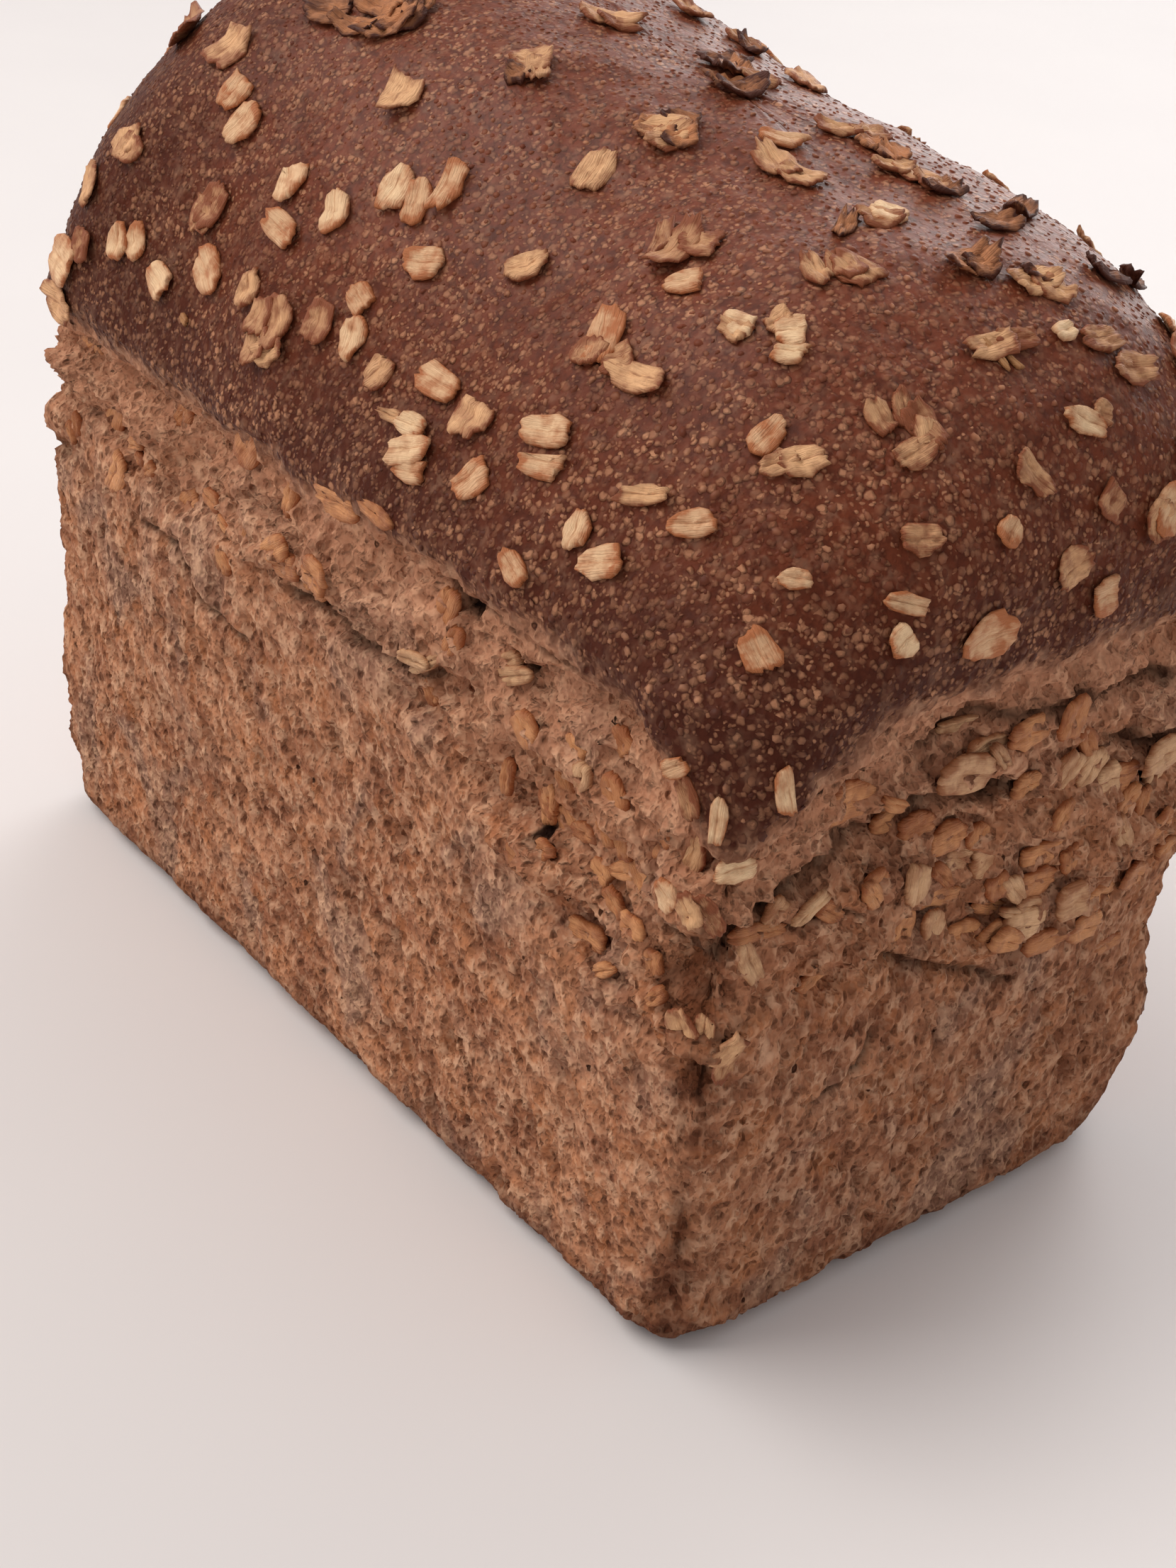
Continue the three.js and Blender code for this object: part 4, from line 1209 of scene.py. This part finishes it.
# Flakes sunk into the torn bands of the walls that the photograph doesn't show, and small broken
# ones between the larger in those it does: the wall, from where to where along it, from how low to
# how high, and how many are tried.
SUNK_STREWN = [
    (FAR_WALL, -0.046, 0.046, 0.064, 0.098, 34),
    (BACK_WALL, -0.086, 0.086, 0.078, 0.103, 26),
    (END_WALL, -0.046, 0.046, 0.060, 0.092, 26),
    (FRONT_WALL, 0.050, 0.092, 0.058, 0.101, 16),
    (FRONT_WALL, -0.088, 0.050, 0.080, 0.102, 16),
]
SUNK_CLEARANCE = 0.0045
SUNK_LENGTH = (0.0055, 0.0085)
SUNK_WIDTH = (0.42, 0.64)
PALE_SHARE = 0.3
BROKEN_SIZE = 0.8
for wall, start, end, low, high, count in SUNK_STREWN:
    is_hidden = wall in (FAR_WALL, BACK_WALL)
    for _ in range(count):
        along = flake_draw.uniform(start, end)
        height = flake_draw.uniform(low, high)
        place, normal = on_skin(wall_place(wall, along, height))
        if seen_distance(place) < SUNK_CLEARANCE:
            continue
        length = flake_draw.uniform(*SUNK_LENGTH) * (1 if is_hidden else BROKEN_SIZE)
        kind = "sunk_pale" if flake_draw.random() < PALE_SHARE * is_hidden else "sunk"
        toward = flake_draw.normal(size=3)
        width = length * flake_draw.uniform(*SUNK_WIDTH)
        heaps[kind].add(place, normal, toward, length, width, flake_draw)

BRAN_FINENESS = 9


def bran_effect():
    """Fine bran lines that run along a flake, from the flake's own masks."""
    tree, given, result = new_effect("bran_lines", {"Fineness": BRAN_FINENESS}, ["Lines", "Cloud"])
    along = mask_value(tree, "along")
    across = mask_value(tree, "across")
    seed = times(tree, mask_value(tree, "tone"), 40)
    fine_across = times(tree, across, given["Fineness"])
    drawn_out = add_node(tree, "ShaderNodeCombineXYZ", {0: along, 1: fine_across, 2: seed}).outputs[0]
    on_flake = add_node(tree, "ShaderNodeCombineXYZ", {0: along, 1: across, 2: seed}).outputs[0]
    give(tree, result, {
        "Lines": between(tree, soft_noise(tree, drawn_out, 1.4, 3).outputs[0], 0.35, 0.65),
        "Cloud": between(tree, soft_noise(tree, on_flake, 1.6, 2).outputs[0], 0.40, 0.62),
    })
    return tree


BRAN_EFFECT = bran_effect()


def oat_finish(kind):
    shape = OAT_KINDS[kind]
    material, tree, shader = new_finish(f"oat_{kind}")
    bran = placed_effect(tree, BRAN_EFFECT, Fineness=BRAN_FINENESS)
    place, _, _ = own_place(tree)
    golden = between(tree, soft_noise(tree, place, 330, 3, 0.6).outputs[0], 0.44, 0.66, 0, 0.55)
    rim = times(tree, mask_value(tree, "edge"), between(tree, bran["Cloud"], 0, 1, 0.35, 1))
    toast = times_plus(tree, rim, shape["toast"] * 1.3, golden)
    toast = times_plus(tree, bran["Lines"], 0.16, toast)
    own_tone = between(tree, mask_value(tree, "tone"), 0, 1, -0.2, 0.45 * shape["toast"])
    browning = add_node(tree, "ShaderNodeClamp", {0: computed(tree, "ADD", toast, own_tone)}).outputs[0]
    # The crease is painted browner along the middle, as painted shade in its groove.
    off_middle = computed(tree, "ABSOLUTE", mask_value(tree, "across"))
    crease_strength = between(tree, bran["Cloud"], 1, 0, 0.2, 1)
    in_crease = times(tree, between(tree, off_middle, 0.08, 0.01), crease_strength)
    colour = layered(tree, shape["light"], [
        (browning, shape["brown"]),
        (times(tree, in_crease, 0.6), shape["brown"]),
    ])
    bump_height = bran["Lines"]
    if shape["crumb"]:
        crumb = placed_effect(tree, CRUMB_EFFECT, Fineness=CRUMB_FINENESS)
        covered = times(tree, between(tree, crumb["Height"], 0.55, 0.15), shape["crumb"])
        colour = mixed(tree, covered, colour, WALL_BROWN)
        bump_height = times_plus(tree, crumb["Height"], 2 * shape["crumb"], bump_height)
    give(tree, shader, {
        "Base Color": colour,
        "Roughness": 0.6,
        "Specular IOR Level": 0.3,
        "Normal": bumped(tree, bump_height, 0.6, 0.0003),
    })
    return material


for kind, heap in heaps.items():
    heap.piece().data.materials.append(oat_finish(kind))


# The crust's blisters
# Small pale bubbles that rose in the crust's skin, larger towards the near end. Each is a low
# uneven dome of baked dough on the crust, and all of them are one piece.
BLISTER_SEED = 9341
BLISTER_TRIES = 52000
BLISTER_LIMIT = 10900
LEAST_CRUST = 0.75
FLAKE_CLEARANCE = 0.0030
BLISTER_GAP = 1.05
NET_CELL = 0.002
BLISTER_RADIUS = {"least": 0.00028, "most": 0.00095}
BLISTER_LIFT = (0.15, 0.42)
BLISTER_SQUEEZE = (0.55, 1.0)
BLISTER_SIDES = 6
# Each ring of a blister: how wide and how high it is, as shares of the whole.
BLISTER_RINGS = [(1.0, -0.2), (0.68, 0.75)]
RING_UNEVENNESS = (0.65, 1.25)
PATCH_SIZE = 0.009
blister_draw = np.random.default_rng(BLISTER_SEED)


def skin_places():
    """A place in each of the skin's small faces, the way out there, and the face's share of the crust."""
    spots, ways_out, weights = [], [], []
    for grid, crust_share in ((wall_points, wall_masks["crust"]), (crust_points, crust_masks["crust"])):
        ahead = np.roll(grid, -1, axis=1)[:-1] - grid[:-1]
        upward = grid[1:] - grid[:-1]
        across_cell = np.cross(ahead, upward).reshape(-1, 3)
        share_along = blister_draw.uniform(size=(len(across_cell), 1))
        corner_spots = grid[:-1].reshape(-1, 3) + share_along * ahead.reshape(-1, 3)
        spots.append(corner_spots + (1 - share_along) * upward.reshape(-1, 3))
        wide = np.roll(grid, -3, axis=1)[:-1] - np.roll(grid, 3, axis=1)[:-1]
        ways_out.append(unit(np.cross(wide, upward)).reshape(-1, 3))
        weights.append(np.linalg.norm(across_cell, axis=1) * (crust_share[:-1].ravel() > LEAST_CRUST))
    return np.concatenate(spots), np.concatenate(ways_out), np.concatenate(weights)


def flake_middles():
    middles = [flake.mean(axis=0) for heap in heaps.values() for flake in heap.points]
    tree = KDTree(len(middles))
    for index, middle in enumerate(middles):
        tree.insert(middle, index)
    tree.balance()
    return tree


def blister_places():
    """Places on the crust that are clear of the flakes and of each other, each with its blister's size."""
    spots, ways_out, weights = skin_places()
    flake_tree = flake_middles()
    picked = blister_draw.choice(len(spots), BLISTER_TRIES, replace=False, p=weights / weights.sum())
    taken = {}
    made_count = 0
    for spot, normal in zip(spots[picked], ways_out[picked]):
        along_share = float(np.clip((spot[0] + 0.04) / 0.12, 0, 1))
        nearness = along_share * float(np.clip(1.1 - (spot[1] + 0.03) / 0.08, 0.2, 1))
        grown = (0.35 + 0.65 * nearness) * blister_draw.random()
        radius = BLISTER_RADIUS["least"] + (BLISTER_RADIUS["most"] - BLISTER_RADIUS["least"]) * grown
        if made_count >= BLISTER_LIMIT:
            return
        if flake_tree.find(spot)[2] < FLAKE_CLEARANCE:
            continue
        cell = tuple(np.floor(spot / NET_CELL).astype(int))
        close = [
            other
            for dx in (-1, 0, 1) for dy in (-1, 0, 1) for dz in (-1, 0, 1)
            for other in taken.get((cell[0] + dx, cell[1] + dy, cell[2] + dz), [])
        ]
        if any(np.sum((other[0] - spot) ** 2) < (BLISTER_GAP * (other[1] + radius)) ** 2 for other in close):
            continue
        taken.setdefault(cell, []).append((spot, radius))
        made_count += 1
        yield spot, normal, radius, nearness


blister_points, blister_faces, blister_rise, blister_tone = [], [], [], []
for spot, normal, radius, nearness in blister_places():
    along, across = axes_from(normal, blister_draw.normal(size=3))
    squeeze = blister_draw.uniform(*BLISTER_SQUEEZE)
    lift = radius * blister_draw.uniform(*BLISTER_LIFT)
    lower = len(blister_rise)
    upper = lower + BLISTER_SIDES
    top = upper + BLISTER_SIDES
    for share, rise in BLISTER_RINGS:
        for side in range(BLISTER_SIDES):
            angle = side / BLISTER_SIDES * 2 * math.pi
            reach = share * radius * blister_draw.uniform(*RING_UNEVENNESS)
            offset = reach * (math.cos(angle) * along + squeeze * math.sin(angle) * across)
            blister_points.append(spot + offset + rise * lift * normal)
            blister_rise.append(max(rise, 0))
    blister_points.append(spot + lift * normal)
    blister_rise.append(1)
    patch = float(np.clip(0.6 + 1.2 * noise.noise(Vector(spot / PATCH_SIZE)), 0.15, 1))
    tone = patch * (0.55 + 0.45 * nearness) * blister_draw.random()
    blister_tone.extend([tone] * (top + 1 - lower))
    for side in range(BLISTER_SIDES):
        after = (side + 1) % BLISTER_SIDES
        blister_faces.append([lower + side, lower + after, upper + after, upper + side])
        blister_faces.append([upper + side, upper + after, top])
blister_masks = {"rise": blister_rise, "tone": blister_tone}
blisters = new_piece("crust_blisters", blister_points, blister_faces, blister_masks)


def blister_finish():
    material, tree, shader = new_finish("crust_blister")
    place, _, _ = own_place(tree)
    uneven = between(tree, soft_noise(tree, place, 900, 1).outputs[0], 0.35, 0.65, 0.4, 1)
    pale = times(tree, uneven, mask_value(tree, "tone"))
    share = times(tree, between(tree, mask_value(tree, "rise"), 0, 0.9), pale)
    skin = placed_effect(tree, SKIN_EFFECT, Mottling=0.4)["Colour"]
    give(tree, shader, {
        "Base Color": mixed(tree, share, skin, FLECK_TAN),
        "Roughness": 0.45,
        "Specular IOR Level": 0.12,
    })
    return material


blisters.data.materials.append(blister_finish())


# The floor, the light and the sky
# A plain pale floor, one warm broad light from the front left, and a soft pale sky with a bright
# window behind the loaf for the crown's sheen.
FLOOR_SIZE = 3
FLOOR_STEPS = 12
FLOOR_GREY = paint(222, 217, 216)
FLOOR_PALE = paint(228, 223, 221)
floor_mesh = bpy.data.meshes.new("floor")
floor_line = np.linspace(-FLOOR_SIZE / 2, FLOOR_SIZE / 2, FLOOR_STEPS)
floor_x, floor_y = np.meshgrid(floor_line, floor_line)
floor_points = np.stack([floor_x, floor_y, 0 * floor_x], axis=-1).reshape(-1, 3)
floor_mesh.from_pydata(floor_points.tolist(), [], ring_faces(FLOOR_STEPS, FLOOR_STEPS, closed=False))
floor = bpy.data.objects.new("floor", floor_mesh)
bpy.context.scene.collection.objects.link(floor)
floor_material, floor_tree, floor_shader = new_finish("pale_floor")
floor_place, _, _ = own_place(floor_tree)
floor_cloud = soft_noise(floor_tree, floor_place, 9, 3).outputs[0]
floor_colour = mixed(floor_tree, floor_cloud, FLOOR_GREY, FLOOR_PALE)
give(floor_tree, floor_shader, {"Base Color": floor_colour, "Roughness": 0.6})
floor_mesh.materials.append(floor_material)

LIGHT_PLACE = Vector((-0.72, -0.78, 1.42))
LIGHT_AIM = Vector((0, 0, 0.08))
LIGHT_SIZE = 1.4
LIGHT_POWER = 20.6
LIGHT_COLOUR = (1.0, 0.96, 0.92)
light_data = bpy.data.lights.new("key_light", "AREA")
light_data.size = LIGHT_SIZE
light_data.energy = LIGHT_POWER
light_data.color = LIGHT_COLOUR
light = bpy.data.objects.new("key_light", light_data)
light.location = LIGHT_PLACE
light.rotation_euler = (LIGHT_PLACE - LIGHT_AIM).to_track_quat("Z", "Y").to_euler()
bpy.context.scene.collection.objects.link(light)

WINDOW_WAY = unit(np.array([-0.44, 0.84, 0.34]))
SKY_COLOUR = (0.97, 0.95, 0.95, 1)
WINDOW_COLOUR = (7.6, 7.3, 7.2, 1)
SKY_STRENGTH = 0.60
sky = bpy.data.worlds.new("soft_sky")
sky.use_nodes = True
sky_tree = sky.node_tree
sky_way = add_node(sky_tree, "ShaderNodeTexCoord", {}).outputs["Generated"]
window_inputs = {0: sky_way, 1: tuple(WINDOW_WAY)}
toward_window = add_node(sky_tree, "ShaderNodeVectorMath", window_inputs, operation="DOT_PRODUCT")
window_share = between(sky_tree, toward_window.outputs["Value"], 0.88, 0.98)
sky_colour = mixed(sky_tree, window_share, SKY_COLOUR, WINDOW_COLOUR)
give(sky_tree, sky_tree.nodes["Background"], {"Color": sky_colour, "Strength": SKY_STRENGTH})
bpy.context.scene.world = sky
bpy.context.scene.view_settings.view_transform = "Standard"
